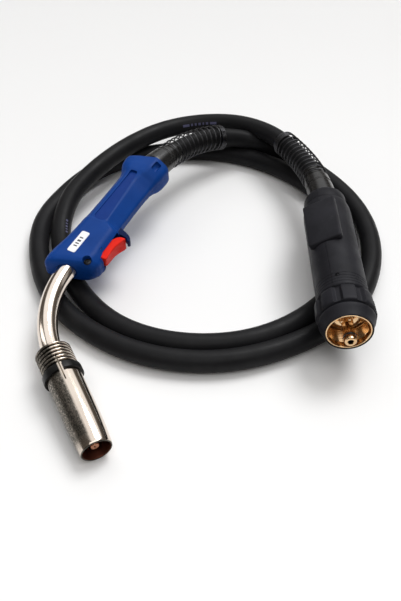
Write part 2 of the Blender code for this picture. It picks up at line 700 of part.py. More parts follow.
block = turned(
    "connector_block", [(0, 30.1), (17.2, 30.1), (17.2, 19.0), (16.6, 18.4), (0, 18.4)],
    BRASS, connector_frame, sides=24,
)
gas_pin_hole = cylinder(
    "gas_pin_hole", GAS_PIN_RADIUS + 0.4, 30, None, connector_frame, (0, 0, 20), sides=20, cutter=True
)
cut(block, gas_pin_hole)
turned(
    "gas_pin",
    [(0, 30.0), (GAS_PIN_RADIUS, 30.0), (GAS_PIN_RADIUS, -4.2), (4.2, -4.4), (4.2, -6.4),
     (GAS_PIN_RADIUS, -6.6), (GAS_PIN_RADIUS, -10.2), (4.4, -11.2), (2.2, -11.2), (1.8, -10.8),
     (1.8, 6.0), (0, 6.0)],
    BRASS, connector_frame, sides=16,
)
turned(
    "gas_pin_o_ring",
    [(5.1, -4.7), (5.5, -5.4), (5.1, -6.1), (4.5, -6.1), (4.5, -4.7)],
    BLACK_RUBBER, connector_frame, sides=16, closed=True,
)
for number, lean in enumerate(PIN_ANGLES, start=1):
    across, up = PIN_RING * math.sin(lean), PIN_RING * math.cos(lean)
    bush_hole = cylinder(
        f"bush_hole_{number}", 3.3, 30, None, connector_frame, (across, up, 20), sides=16, cutter=True
    )
    cut(block, bush_hole)
    turned(
        f"contact_bush_{number}",
        [(3.0, 29.9), (3.0, 15.0), (2.6, 14.6), (1.9, 14.6), (1.9, 29.9)], NAVY, connector_frame, sides=16,
        closed=True, location=(across, up, 0),
    )
    turned(
        f"contact_pin_{number}",
        [(0, 24.0), (1.55, 24.0), (1.55, 4.6), (1.0, 3.4), (0, 3.0)], BRASS, connector_frame, sides=12,
        location=(across, up, 0),
    )
    small_coil(
        f"contact_pin_spring_{number}", 1.3, 4.6, 3.5, PIN_WIRE_RADIUS, connector_frame,
        (across, up, 24.6), (0, 0, 1),
    )
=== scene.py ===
"""The looks of a MIG welding torch that lies on a pale floor: detailed shells, metal, rubber and cable
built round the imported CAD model. Lengths in metres, in the same frame as the model."""

import math

import bmesh
import bpy
import numpy as np
from mathutils import Matrix, Vector


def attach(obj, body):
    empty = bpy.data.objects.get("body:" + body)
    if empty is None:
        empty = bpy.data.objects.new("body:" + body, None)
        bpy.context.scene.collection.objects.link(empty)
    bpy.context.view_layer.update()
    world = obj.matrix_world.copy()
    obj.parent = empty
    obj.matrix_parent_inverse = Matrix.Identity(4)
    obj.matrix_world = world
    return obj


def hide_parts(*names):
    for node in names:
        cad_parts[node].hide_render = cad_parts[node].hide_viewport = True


MM = 0.001
UP = Vector((0, 0, 1))

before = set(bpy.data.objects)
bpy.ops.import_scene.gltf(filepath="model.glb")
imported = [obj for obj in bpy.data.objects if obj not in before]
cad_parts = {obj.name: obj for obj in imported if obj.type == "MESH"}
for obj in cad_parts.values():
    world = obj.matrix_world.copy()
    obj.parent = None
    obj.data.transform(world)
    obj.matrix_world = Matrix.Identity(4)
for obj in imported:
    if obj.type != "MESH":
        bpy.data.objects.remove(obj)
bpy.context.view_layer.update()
scene = bpy.context.scene

# Torch's own frame: +Y along the handle to its rear, +X the trigger side, +Z the label side
CORNER_PLACE = Vector((-55.6, -20.3, 28.9)) * MM
HEADING = math.radians(-27.5)
PITCH = math.radians(7.1)
ROLL = math.radians(-1.7)
TORCH = (
    Matrix.Translation(CORNER_PLACE)
    @ Matrix.Rotation(PITCH, 4, "X")
    @ Matrix.Rotation(ROLL, 4, "Y")
    @ Matrix.Rotation(HEADING, 4, "Z")
)

# Nozzle's frame: origin at the mouth, +Z back along the nozzle, +Y to the label side
NECK_BEND = math.radians(53.5)
NECK_BEND_RADIUS = 110.0 * MM
CORNER_TO_MOUTH = 154.6 * MM
forward = Vector((math.sin(NECK_BEND), -math.cos(NECK_BEND), 0.0))
sideways = Vector((math.cos(NECK_BEND), math.sin(NECK_BEND), 0.0))
NECK_CORNER = Vector((0.0, -5.1 * MM, 0.0))
mouth_place = NECK_CORNER + forward * CORNER_TO_MOUTH
NOZZLE = (
    TORCH
    @ Matrix.Translation(mouth_place)
    @ Matrix((-sideways, (0, 0, 1), -forward)).transposed().to_4x4()
)

# Connector's frame: origin at the rim's centre, +Z back along it, +Y up; its seam leans to one side
CONNECTOR = Matrix.Translation(Vector((212.9, -68.3, 46.3)) * MM) @ Matrix(
    ((-1, 0, 0), (0, 0, 1), (0, 1, 0))
).transposed().to_4x4()
CLOCK = CONNECTOR @ Matrix.Rotation(math.radians(-29.0), 4, "Z")

CABLE_RADIUS = 10.0 * MM
# Knots of the cable's centre line in mm: out of the handle, down to the floor, twice round and up
# again to the connector
ROUTE = [
    (30.4, 144.7, 52.6), (58.4, 188.7, 51.1), (112.9, 243.7, 37.1), (148.9, 255.2, 25.1),
    (185.9, 248.2, 13.1), (220.4, 214.2, 10.1), (250.4, 160.7, 10.1), (261.4, 102.7, 10.1),
    (252.9, 45.7, 10.1), (221.9, -10.3, 10.1), (168.4, -49.5, 10.1), (107.4, -67.6, 10.1),
    (44.4, -61.0, 10.1), (-10.6, -30.8, 10.1), (-49.6, 14.7, 10.1), (-70.1, 72.7, 10.1),
    (-72.1, 131.7, 10.1), (-59.6, 166.7, 10.1), (-23.6, 220.7, 10.1), (28.9, 250.7, 10.1),
    (92.4, 257.7, 10.1), (140.9, 245.7, 10.1), (183.9, 217.7, 10.1), (219.4, 173.7, 10.1),
    (238.4, 109.7, 10.1), (229.9, 45.7, 10.1), (194.9, -5.3, 10.1), (140.4, -40.3, 10.1),
    (79.4, -47.8, 10.1), (20.4, -28.3, 10.1), (-21.6, 15.7, 10.1), (-46.1, 71.7, 10.6),
    (-52.1, 100.2, 12.1), (-45.6, 150.2, 24.6), (-27.1, 181.7, 31.6), (10.4, 234.7, 32.6),
    (60.9, 278.0, 29.6), (123.9, 281.2, 33.0), (168.4, 246.7, 39.4), (197.4, 193.7, 42.1),
    (208.9, 149.7, 45.1), (212.8, 109.7, 46.3), (212.9, 63.7, 46.3), (212.9, 7.7, 46.3),
]


# ---- materials


class Look:
    """A node material, built step by step round its Principled shader."""

    def __init__(self, name, colour, roughness, metallic=0.0, **sockets):
        self.made = bpy.data.materials.new(name)
        self.made.use_nodes = True
        self.nodes = self.made.node_tree.nodes
        self.links = self.made.node_tree.links
        self.shader = self.nodes["Principled BSDF"]
        self.shader.inputs["Base Color"].default_value = (*colour, 1.0)
        self.shader.inputs["Roughness"].default_value = roughness
        self.shader.inputs["Metallic"].default_value = metallic
        for socket, value in sockets.items():
            self.shader.inputs[socket.replace("_", " ")].default_value = value
        self.place = self.nodes.new("ShaderNodeTexCoord").outputs["Object"]
        self.height = None

    def stretched(self, scale):
        step = self.nodes.new("ShaderNodeMapping")
        step.inputs["Scale"].default_value = scale
        self.links.new(self.place, step.inputs["Vector"])
        return step.outputs["Vector"]

    def noise(self, scale, detail=4.0, roughness=0.55, stretch=None):
        step = self.nodes.new("ShaderNodeTexNoise")
        step.inputs["Scale"].default_value = scale
        step.inputs["Detail"].default_value = detail
        step.inputs["Roughness"].default_value = roughness
        self.links.new(self.stretched(stretch) if stretch else self.place, step.inputs["Vector"])
        return step.outputs["Fac"]

    def ramp(self, source, low, high, start, end):
        """The source's range low..high taken to start..end."""
        step = self.nodes.new("ShaderNodeMapRange")
        for socket, value in zip(("From Min", "From Max", "To Min", "To Max"), (low, high, start, end)):
            step.inputs[socket].default_value = value
        self.links.new(source, step.inputs["Value"])
        return step.outputs["Result"]

    def along(self, axis):
        """The place along one of the piece's own axes, in metres."""
        step = self.nodes.new("ShaderNodeSeparateXYZ")
        self.links.new(self.place, step.inputs["Vector"])
        return step.outputs[axis]

    def radius(self):
        """The distance from the piece's own Z axis, in metres."""
        step = self.nodes.new("ShaderNodeVectorMath")
        step.operation = "LENGTH"
        self.links.new(self.stretched((1, 1, 0)), step.inputs[0])
        return step.outputs["Value"]

    def product(self, *sources):
        """Several values multiplied together."""
        total = sources[0]
        for source in sources[1:]:
            step = self.nodes.new("ShaderNodeMath")
            step.operation = "MULTIPLY"
            self.links.new(total, step.inputs[0])
            self.links.new(source, step.inputs[1])
            total = step.outputs["Value"]
        return total

    def blend(self, factor, first, second):
        """A colour between two, where each is a colour or another node's output."""
        step = self.nodes.new("ShaderNodeMix")
        step.data_type = "RGBA"
        self.links.new(factor, step.inputs["Factor"])
        for socket, value in (("A", first), ("B", second)):
            target = [s for s in step.inputs if s.name == socket and s.type == "RGBA"][0]
            if isinstance(value, tuple):
                target.default_value = (*value, 1.0)
            else:
                self.links.new(value, target)
        return [s for s in step.outputs if s.type == "RGBA"][0]

    def colour(self, source):
        self.links.new(source, self.shader.inputs["Base Color"])

    def rough(self, source):
        self.links.new(source, self.shader.inputs["Roughness"])

    def bump(self, source, strength, distance):
        step = self.nodes.new("ShaderNodeBump")
        step.inputs["Strength"].default_value = strength
        step.inputs["Distance"].default_value = distance
        self.links.new(source, step.inputs["Height"])
        if self.height:
            self.links.new(self.height, step.inputs["Normal"])
        self.height = step.outputs["Normal"]
        self.links.new(self.height, self.shader.inputs["Normal"])


def moulded(name, colour, dark, light, roughness, grain=0.25, shine=0.5):
    """Moulded plastic with a fine spark-eroded grain, faint flow marks and handling wear."""
    spread = 0.06
    look = Look(name, colour, roughness, Specular_IOR_Level=shine)
    cloud = look.noise(26.0, 5.0)
    wear = look.noise(160.0, 6.0, 0.65)
    tone = look.blend(look.ramp(cloud, 0.35, 0.65, 0.0, 1.0), dark, light)
    rubbed = tuple(min(1, c * 1.6 + 0.02) for c in light)
    look.colour(look.blend(look.ramp(wear, 0.62, 0.80, 0.0, 0.35), tone, rubbed))
    look.rough(look.ramp(look.noise(90.0, 5.0), 0.3, 0.7, roughness - spread, roughness + spread))
    look.bump(look.noise(2600.0, 2.0), strength=grain, distance=0.06 * MM)
    look.bump(look.noise(340.0, 3.0), strength=0.10, distance=0.2 * MM)
    return look.made


def rubber(name, dark, light, roughness, dust, shine=0.5):
    """Black rubber with a dull bloom, patches of dust and scuffs."""
    look = Look(name, dark, roughness, Specular_IOR_Level=shine)
    cloud = look.ramp(look.noise(18.0, 6.0, 0.6), 0.35, 0.68, 0.0, 1.0)
    scuff = look.ramp(look.noise(210.0, 7.0, 0.7), 0.60, 0.78, 0.0, 0.28)
    look.colour(look.blend(scuff, look.blend(cloud, dark, light), dust))
    look.rough(look.ramp(look.noise(60.0, 6.0), 0.3, 0.7, roughness - 0.09, roughness + 0.10))
    look.bump(look.noise(1500.0, 3.0), strength=0.30, distance=0.08 * MM)
    look.bump(look.noise(120.0, 4.0), strength=0.12, distance=0.3 * MM)
    return look.made


SCRATCH_DEPTH = 0.04 * MM


def metal(name, colour, tint, roughness, scratches=(1, 1, 30), grain=0.08):
    """Bright metal with a patchy tint and fine scratches along one direction."""
    look = Look(name, colour, roughness, 1.0)
    cloud = look.ramp(look.noise(30.0, 5.0), 0.35, 0.7, 0.0, 1.0)
    look.colour(look.blend(cloud, colour, tint))
    lines = look.noise(900.0, 4.0, 0.7, stretch=scratches)
    smear = look.noise(45.0, 6.0, 0.7)
    look.rough(look.ramp(smear, 0.3, 0.75, roughness * 0.75, roughness * 1.7))
    look.bump(lines, strength=grain, distance=SCRATCH_DEPTH)
    return look.made


def metal_with_painted_shading(name, colour, tint, dark_tone, roughness):
    """Plated nozzle metal with a dark rim, a painted dark reflection down one side in specks and patches,
    and painted shade in the grooves between the ribs.
    """
    look = Look(name, colour, roughness, 1.0)
    plain_metal = look.blend(look.ramp(look.noise(30.0, 5.0), 0.35, 0.7, 0.0, 1.0), colour, tint)
    # Painted reflection: one side of the nozzle darkened, fading towards the mouth and broken into specks
    # and patches; that side is also rougher.
    side = look.ramp(look.along("X"), 0.6 * MM, 2.8 * MM, 0.0, 1.0)
    length = look.ramp(look.along("Z"), 2.0 * MM, 12.0 * MM, 0.15, 1.0)
    specks = look.ramp(look.noise(760.0, 3.0, 0.8), 0.48, 0.62, 1.0, 0.50)
    patches = look.ramp(look.noise(70.0, 4.0, 0.6), 0.25, 0.45, 0.70, 1.0)
    painted_dark_side = look.product(side, length, specks, patches)
    rim = look.ramp(look.along("Z"), 0.4 * MM, 1.0 * MM, 1.0, 0.0)
    darkened = look.blend(rim, look.blend(painted_dark_side, plain_metal, dark_tone), dark_tone)
    # Painted shade: the hollows between the ribs at the rear are darkened to about a third of the dark
    # colour.
    hollow = look.ramp(look.radius(), 14.1 * MM, 15.3 * MM, 1.0, 0.0)
    ribbed = look.ramp(look.along("Z"), 81.0 * MM, 82.0 * MM, 0.0, 1.0)
    painted_groove_shade = look.product(hollow, ribbed)
    look.colour(look.blend(painted_groove_shade, darkened, tuple(0.35 * c for c in dark_tone)))
    look.rough(look.ramp(painted_dark_side, 0.0, 1.0, roughness, 0.40))
    look.bump(look.noise(900.0, 4.0, 0.7, stretch=(1, 1, 0.04)), strength=0.10, distance=SCRATCH_DEPTH)
    return look.made


# ---- shape helpers


SPLINE_SAMPLES = 3000


def spline_through(knots, count):
    """`count` points evenly spaced along a natural cubic spline through the knots, and its length."""
    knots = np.array(knots, float)
    steps = np.linalg.norm(np.diff(knots, axis=0), axis=1)
    along = np.concatenate([[0.0], np.cumsum(steps)])
    size = len(knots)
    system = np.eye(size)
    right = np.zeros((size, 3))
    for i in range(1, size - 1):
        before, after = steps[i - 1], steps[i]
        system[i, i - 1:i + 2] = before, 2 * (before + after), after
        right[i] = 6 * ((knots[i + 1] - knots[i]) / after - (knots[i] - knots[i - 1]) / before)
    bend = np.linalg.solve(system, right)

    def at(distance):
        i = min(max(np.searchsorted(along, distance) - 1, 0), size - 2)
        width = steps[i]
        a, b = (along[i + 1] - distance) / width, (distance - along[i]) / width
        curve = ((a ** 3 - a) * bend[i] + (b ** 3 - b) * bend[i + 1]) * width ** 2 / 6
        return a * knots[i] + b * knots[i + 1] + curve

    fine = np.array([at(d) for d in np.linspace(0, along[-1], SPLINE_SAMPLES)])
    run = np.concatenate([[0.0], np.cumsum(np.linalg.norm(np.diff(fine, axis=0), axis=1))])
    wanted = np.linspace(0, run[-1], count)
    points = np.stack([np.interp(wanted, run, fine[:, k]) for k in range(3)], axis=1)
    return points, run[-1]


def smooth(data, sharp):
    """Shades the mesh smooth but for edges sharper than `sharp` degrees."""
    data.shade_smooth()
    data.set_sharp_from_angle(angle=math.radians(sharp))


def place_mesh(name, shape, look, matrix=None, sharp=35.0):
    """The bmesh as an object at the matrix, smooth but for its sharp edges."""
    bmesh.ops.recalc_face_normals(shape, faces=shape.faces)
    data = bpy.data.meshes.new(name)
    shape.to_mesh(data)
    shape.free()
    smooth(data, sharp)
    made = bpy.data.objects.new(name, data)
    scene.collection.objects.link(made)
    made.matrix_world = matrix or Matrix.Identity(4)
    if look:
        data.materials.append(look)
    return made


def rings_to_shape(rings, looped=False):
    """A bmesh skin through rings of points that all have one count, closed at its ends or looped."""
    shape = bmesh.new()
    made = [[shape.verts.new(p) for p in ring] for ring in rings]
    size = len(made[0])
    pairs = list(zip(made, made[1:]))
    if looped:
        pairs.append((made[-1], made[0]))
    for first, second in pairs:
        for i in range(size):
            j = (i + 1) % size
            shape.faces.new((first[i], first[j], second[j], second[i]))
    if not looped:
        shape.faces.new(made[0])
        shape.faces.new(made[-1])
    return shape


def turned(name, profile, look, matrix, sides=96, closed=True, wobble=None, sharp=35.0, centre=(0, 0)):
    """A profile of (radius, height) in mm turned about the matrix's Z. `wobble(angle, radius, height)`
    gives the radius that the profile really has there."""
    rings = []
    for r, z in profile:
        ring = []
        for i in range(sides):
            angle = 2 * math.pi * i / sides
            reach = wobble(angle, r, z) if wobble else r
            x = centre[0] + reach * math.cos(angle)
            y = centre[1] + reach * math.sin(angle)
            ring.append((x * MM, y * MM, z * MM))
        rings.append(ring)
    return place_mesh(name, rings_to_shape(rings, closed), look, matrix, sharp)


def frames_along(points):
    """Points on a line, with its directions and with side vectors that turn as little as possible."""
    points = [Vector(p) for p in points]
    last = len(points) - 1
    ahead = [(points[min(i + 1, last)] - points[max(i - 1, 0)]).normalized() for i in range(last + 1)]
    steep = abs(ahead[0].z) > 0.9
    side = ahead[0].orthogonal().normalized() if steep else ahead[0].cross(UP).normalized()
    sides = []
    for direction in ahead:
        side = (side - direction * side.dot(direction)).normalized()
        sides.append(side.copy())
    return points, ahead, sides


def ring_round(point, direction, side, radius, sides):
    """A ring of points square to the direction."""
    other = direction.cross(side)
    turns = [2 * math.pi * i / sides for i in range(sides)]
    return [point + (side * math.cos(turn) + other * math.sin(turn)) * radius for turn in turns]


def tube(name, points, radius, look, sides, sharp=35.0):
    """A round tube along the points, closed at its ends."""
    rings = [ring_round(*place, radius, sides) for place in zip(*frames_along(points))]
    return place_mesh(name, rings_to_shape(rings), look, None, sharp)


def pipe_wall(name, points, outer, inner, look, sides, sharp, matrix=None):
    """An open tube along the points, with an outer and an inner radius at each."""
    places = list(zip(*frames_along(points)))
    stations = list(zip(places, outer)) + list(zip(places, inner))[::-1]
    rings = [ring_round(*place, radius, sides) for place, radius in stations]
    return place_mesh(name, rings_to_shape(rings, looped=True), look, matrix, sharp)


def cut(obj, *others, operation="DIFFERENCE"):
    """Cuts the others out of the object, in turn, and removes them."""
    for other in others:
        step = obj.modifiers.new(other.name, "BOOLEAN")
        step.operation = operation
        step.object = other
        step.solver = "EXACT"
        bpy.context.view_layer.objects.active = obj
        bpy.context.view_layer.update()
        graph = bpy.context.evaluated_depsgraph_get()
        data = bpy.data.meshes.new_from_object(obj.evaluated_get(graph))
        obj.modifiers.clear()
        obj.data = data
        bpy.data.objects.remove(other)
    return obj


def box(name, low, high, look=None, matrix=None, bevel=0.0):
    """A box between two corners in mm, in the matrix's frame, with rounded edges."""
    shape = bmesh.new()
    low, high = Vector(low) * MM, Vector(high) * MM
    bmesh.ops.create_cube(shape, size=1.0)
    bmesh.ops.scale(shape, vec=high - low, verts=shape.verts)
    bmesh.ops.translate(shape, vec=(low + high) / 2, verts=shape.verts)
    if bevel:
        bmesh.ops.bevel(
            shape, geom=shape.edges[:], offset=bevel * MM, segments=3, profile=0.5, affect="EDGES"
        )
    return place_mesh(name, shape, look, matrix)


def rod_cutter(name, radius, low, high, matrix, at=(0, 0), sides=32):
    """A round rod along the matrix's Z, from low to high, in mm, to cut with."""
    return turned(name, [(radius, high), (radius, low)], None, matrix, sides, closed=False, centre=at)


def bevelled(obj, width, segments=3, angle=30.0):
    """Rounds the object's sharp edges."""
    edge = obj.modifiers.new("rounded", "BEVEL")
    edge.width = width * MM
    edge.segments = segments
    edge.limit_method = "ANGLE"
    edge.angle_limit = math.radians(angle)


def keep(obj, body, finish, *nodes):
    """The piece rides on its body and stands for the CAD nodes, which it hides; its finish is not used."""
    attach(obj, body)
    if nodes:
        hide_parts(*nodes)


# ---- looks

BLUE = moulded(
    "blue_plastic_look", (0.003, 0.046, 0.25), (0.002, 0.040, 0.22), (0.004, 0.052, 0.27),
    0.46, 0.14, shine=0.12,
)
PANEL = moulded(
    "sunk_panel_look", (0.002, 0.034, 0.21), (0.001, 0.028, 0.19), (0.003, 0.038, 0.23),
    0.5, 0.5, shine=0.12,
)
RED = moulded(
    "red_plastic_look", (0.80, 0.026, 0.016), (0.70, 0.018, 0.010), (0.87, 0.030, 0.017),
    0.40, 0.08, shine=0.05,
)
HOUSING = moulded(
    "black_housing_look", (0.017, 0.017, 0.021), (0.013, 0.013, 0.016), (0.022, 0.022, 0.027),
    0.50, 0.42, shine=0.12,
)
# Dark navy for the hidden switch body; on the trigger's lug it is painted shade, standing for the blue
# plastic in shadow.
NAVY_AND_LUG_SHADE = moulded(
    "dark_plastic_and_lug_shade_look", (0.001, 0.011, 0.065), (0.001, 0.008, 0.050), (0.002, 0.014, 0.080),
    0.45, shine=0.10,
)
BUSH = moulded("bush_look", (0.20, 0.085, 0.03), (0.15, 0.06, 0.02), (0.24, 0.10, 0.04), 0.4)
CLIP = moulded(
    "clip_ring_look", (0.006, 0.006, 0.006), (0.004, 0.004, 0.004), (0.009, 0.009, 0.009),
    0.34, 0.12, shine=0.2,
)
CREAM = moulded("cream_insulator_look", (0.6, 0.52, 0.4), (0.52, 0.44, 0.33), (0.64, 0.57, 0.45), 0.5)
CABLE = rubber(
    "cable_rubber_look", (0.008, 0.008, 0.009), (0.014, 0.014, 0.015), 0.44, (0.036, 0.035, 0.036),
    shine=0.11,
)
SLEEVE = rubber(
    "sleeve_rubber_look", (0.009, 0.009, 0.009), (0.018, 0.017, 0.017),
    0.24, (0.05, 0.048, 0.046),
)
NICKEL = metal("nickel_look", (0.80, 0.70, 0.61), (0.70, 0.60, 0.51), 0.13, (1, 1, 0.04), 0.10)
# The third colour is the dark of the painted reflection down one side and of the rim; the painted groove
# shade is darker still.
NOZZLE_NICKEL = metal_with_painted_shading(
    "nozzle_look", (0.76, 0.67, 0.58), (0.68, 0.58, 0.50), (0.085, 0.08, 0.068),
    0.13,
)
NECK_NICKEL = metal("neck_nickel_look", (0.86, 0.77, 0.68), (0.78, 0.68, 0.59), 0.10, (1, 1, 1), 0.04)
COPPER = metal("copper_look", (0.62, 0.30, 0.18), (0.42, 0.17, 0.09), 0.30)
SOOTED = metal("nozzle_inside_look", (0.20, 0.07, 0.045), (0.10, 0.035, 0.022), 0.42)
BRASS = metal("brass_look", (0.84, 0.60, 0.36), (0.66, 0.42, 0.22), 0.13, (1, 1, 30), 0.12)
STEEL = metal("steel_look", (0.42, 0.42, 0.43), (0.32, 0.32, 0.33), 0.32)
BLACK_STEEL = metal("screw_look", (0.03, 0.03, 0.033), (0.018, 0.018, 0.02), 0.34)
SPRING = metal("spring_wire_look", (0.085, 0.085, 0.09), (0.05, 0.05, 0.053), 0.26)
LABEL = moulded("label_look", (0.93, 0.95, 0.97), (0.90, 0.92, 0.94), (0.95, 0.96, 0.98), 0.35, 0.03)
INK = moulded("ink_look", (0.05, 0.05, 0.06), (0.03, 0.03, 0.035), (0.07, 0.07, 0.08), 0.55, 0.05)
PRINT = moulded(
    "cable_print_look", (0.065, 0.065, 0.13), (0.045, 0.045, 0.10), (0.085, 0.085, 0.16),
    0.5, 0.05,
)

CAD_LOOKS = {
    NICKEL: ["gas_nozzle"],
    NECK_NICKEL: ["neck_outer_tube"],
    COPPER: ["contact_tip", "tip_holder", "neck_inner_tube", "cable_ferrule"],
    CREAM: ["gas_diffuser", "nozzle_insulator"],
    BRASS: [
        "neck_nut", "cable_coupler", "connector_nut_insert", "connector_barrel", "connector_block",
        "gas_pin", "contact_pin_1", "contact_pin_2",
    ],
    STEEL: ["handle_screw", "trigger_pin", "connector_shell_screw"],
    SPRING: [
        "handle_bend_spring", "connector_bend_spring", "trigger_spring", "contact_pin_spring_1",
        "contact_pin_spring_2",
    ],
    BLUE: ["handle_shell_upper", "handle_shell_lower"],
    RED: ["trigger", "switch_plunger"],
    HOUSING: ["connector_nut", "connector_shell_left", "connector_shell_right", "connector_cover_pad"],
    CLIP: ["nozzle_clip_ring"],
    SLEEVE: ["handle_cable_sleeve", "connector_cable_sleeve", "inner_hose", "gas_pin_o_ring"],
    CABLE: ["power_cable"],
    NAVY_AND_LUG_SHADE: ["switch_body", "contact_bush_1", "contact_bush_2"],
    LABEL: ["label_plate"],
}
for look, names in CAD_LOOKS.items():
    for name in names:
        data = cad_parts[name].data
        data.materials.clear()
        data.materials.append(look)


# ---- cable, sleeves and bend springs

CABLE_SIDES = 28
line, CABLE_LENGTH = spline_through([tuple(v * MM for v in knot) for knot in ROUTE], 620)
line_run = np.concatenate([[0.0], np.cumsum(np.linalg.norm(np.diff(line, axis=0), axis=1))])
cable = tube("cable_tube", line, CABLE_RADIUS, CABLE, CABLE_SIDES)
keep(cable, "torch", "black_rubber", "power_cable")


def at_run(distance):
    """Place and direction on the cable's centre line at a distance in mm from its handle end."""

    def at(run):
        return Vector([np.interp(run, line_run, line[:, k]) for k in range(3)])

    run = distance * MM
    return at(run), (at(run + 3 * MM) - at(run - 3 * MM)).normalized()


SLEEVE_BORE = 10.35
SLEEVE_STEP = 0.6


def sleeve(name, sections):
    """A rubber sleeve round the cable, with an outer radius in mm given along it."""
    low, high = sections[0][0], sections[-1][0]
    count = max(2, int(round(abs(high - low) / SLEEVE_STEP)) + 1)
    runs = np.linspace(low, high, count)
    points = [at_run(run)[0] for run in runs]
    outer = np.interp(runs, [s[0] for s in sections], [s[1] for s in sections]) * MM
    inner = np.full(count, SLEEVE_BORE * MM)
    return pipe_wall(name, points, list(outer), list(inner), SLEEVE, 64, 28.0)


END_TURNS, END_PITCH = 3.5, 2.0
SPRING_TURNS = 14.3
SPRING_RADII = (12.9, 13.1, 13.2, 13.3, 13.3, 13.2)
SPRING_WIRE = 0.75
POINTS_PER_TURN = 28


def bend_spring(name, free_end, fixed_end):
    """Wire wound round the cable, with its last turns close together at the free end."""
    points = []
    count = int(SPRING_TURNS * POINTS_PER_TURN)
    toward = 1.0 if fixed_end > free_end else -1.0
    close_end = free_end + toward * END_TURNS * END_PITCH
    for i in range(count + 1):
        turn = SPRING_TURNS * i / count
        if turn < END_TURNS:
            run = free_end + (close_end - free_end) * turn / END_TURNS
        else:
            run = close_end + (fixed_end - close_end) * (turn - END_TURNS) / (SPRING_TURNS - END_TURNS)
        place, ahead = at_run(run)
        side = ahead.cross(UP).normalized()
        other = side.cross(ahead)
        angle = 2 * math.pi * turn * toward
        share = np.linspace(0, 1, len(SPRING_RADII))
        radius = np.interp(turn / SPRING_TURNS, share, SPRING_RADII) * MM
        points.append(place + (side * math.cos(angle) + other * math.sin(angle)) * radius)
    return tube(name, points, SPRING_WIRE * MM, SPRING, 10, 80.0)


# The handle's sleeve is plain, with a low rib in front and a step where the spring screws on
boot = sleeve("handle_boot", [
    (9, 11.9), (18.5, 12.1), (20.5, 14.2), (22, 14.3), (38.0, 13.5), (38.6, 13.0), (39.6, 13.0),
    (40.2, 13.4), (43.6, 13.2), (44.4, 12.6), (45.0, 11.6), (57, 11.3),
])
keep(boot, "torch", "black_rubber", "handle_cable_sleeve")
spring = bend_spring("handle_spring", 131.0, 46.5)
keep(spring, "torch", "spring_steel", "handle_bend_spring")

back = CABLE_LENGTH / MM - 102.9
boot_2 = sleeve("connector_boot", [
    (back - 50, 11.3), (back - 38, 11.6), (back - 37.2, 12.6), (back - 36.4, 13.0), (back - 26.0, 13.4),
    (back - 25.4, 12.9), (back - 24.4, 12.9), (back - 23.8, 13.4), (back - 12.0, 13.7),
    (back - 1.0, 13.9), (back, 13.6),
])
keep(boot_2, "torch", "black_rubber", "connector_cable_sleeve")
spring_2 = bend_spring("connector_spring", back - 122, back - 39.5)
keep(spring_2, "torch", "spring_steel", "connector_bend_spring")

PRINT_PROUD = 0.03 * MM


def printed_dashes(name, start, lengths, lean, width, gap):
    """A row of generic dashes printed on the cable from `start` along it, `lean` degrees from its top."""
    shape = bmesh.new()
    reach = CABLE_RADIUS + PRINT_PROUD
    half = math.degrees(width / 2 * MM / CABLE_RADIUS)
    run = start
    for length in lengths:
        rows = []
        for distance in np.linspace(run, run + length, 4):
            place, ahead = at_run(distance)
            side = ahead.cross(UP).normalized()
            up = side.cross(ahead)
            row = []
            for degrees in (lean - half, lean, lean + half):
                turn = math.radians(degrees)
                row.append(shape.verts.new(place + (up * math.cos(turn) + side * math.sin(turn)) * reach))
            rows.append(row)
        for first, second in zip(rows, rows[1:]):
            for i in range(2):
                shape.faces.new((first[i], first[i + 1], second[i + 1], second[i]))
        run += length + gap
    return place_mesh(name, shape, PRINT)


prints = [
    printed_dashes("cable_print_1", 2094.0, (8.5, 2.6, 2.6, 3.2, 2.0, 3.2, 8.5), 63.0, 2.8, 2.2),
    printed_dashes("cable_print_2", 1862.0, (2.6, 1.8, 2.4, 1.8, 2.6), 42.0, 2.4, 2.0),
]
for mark in prints:
    keep(mark, "torch", "white_label")


# ---- handle


def eased(value, low, high):
    """0 below low, 1 above high and smooth between."""
    t = min(max((value - low) / (high - low), 0.0), 1.0)
    return t * t * (3 - 2 * t)


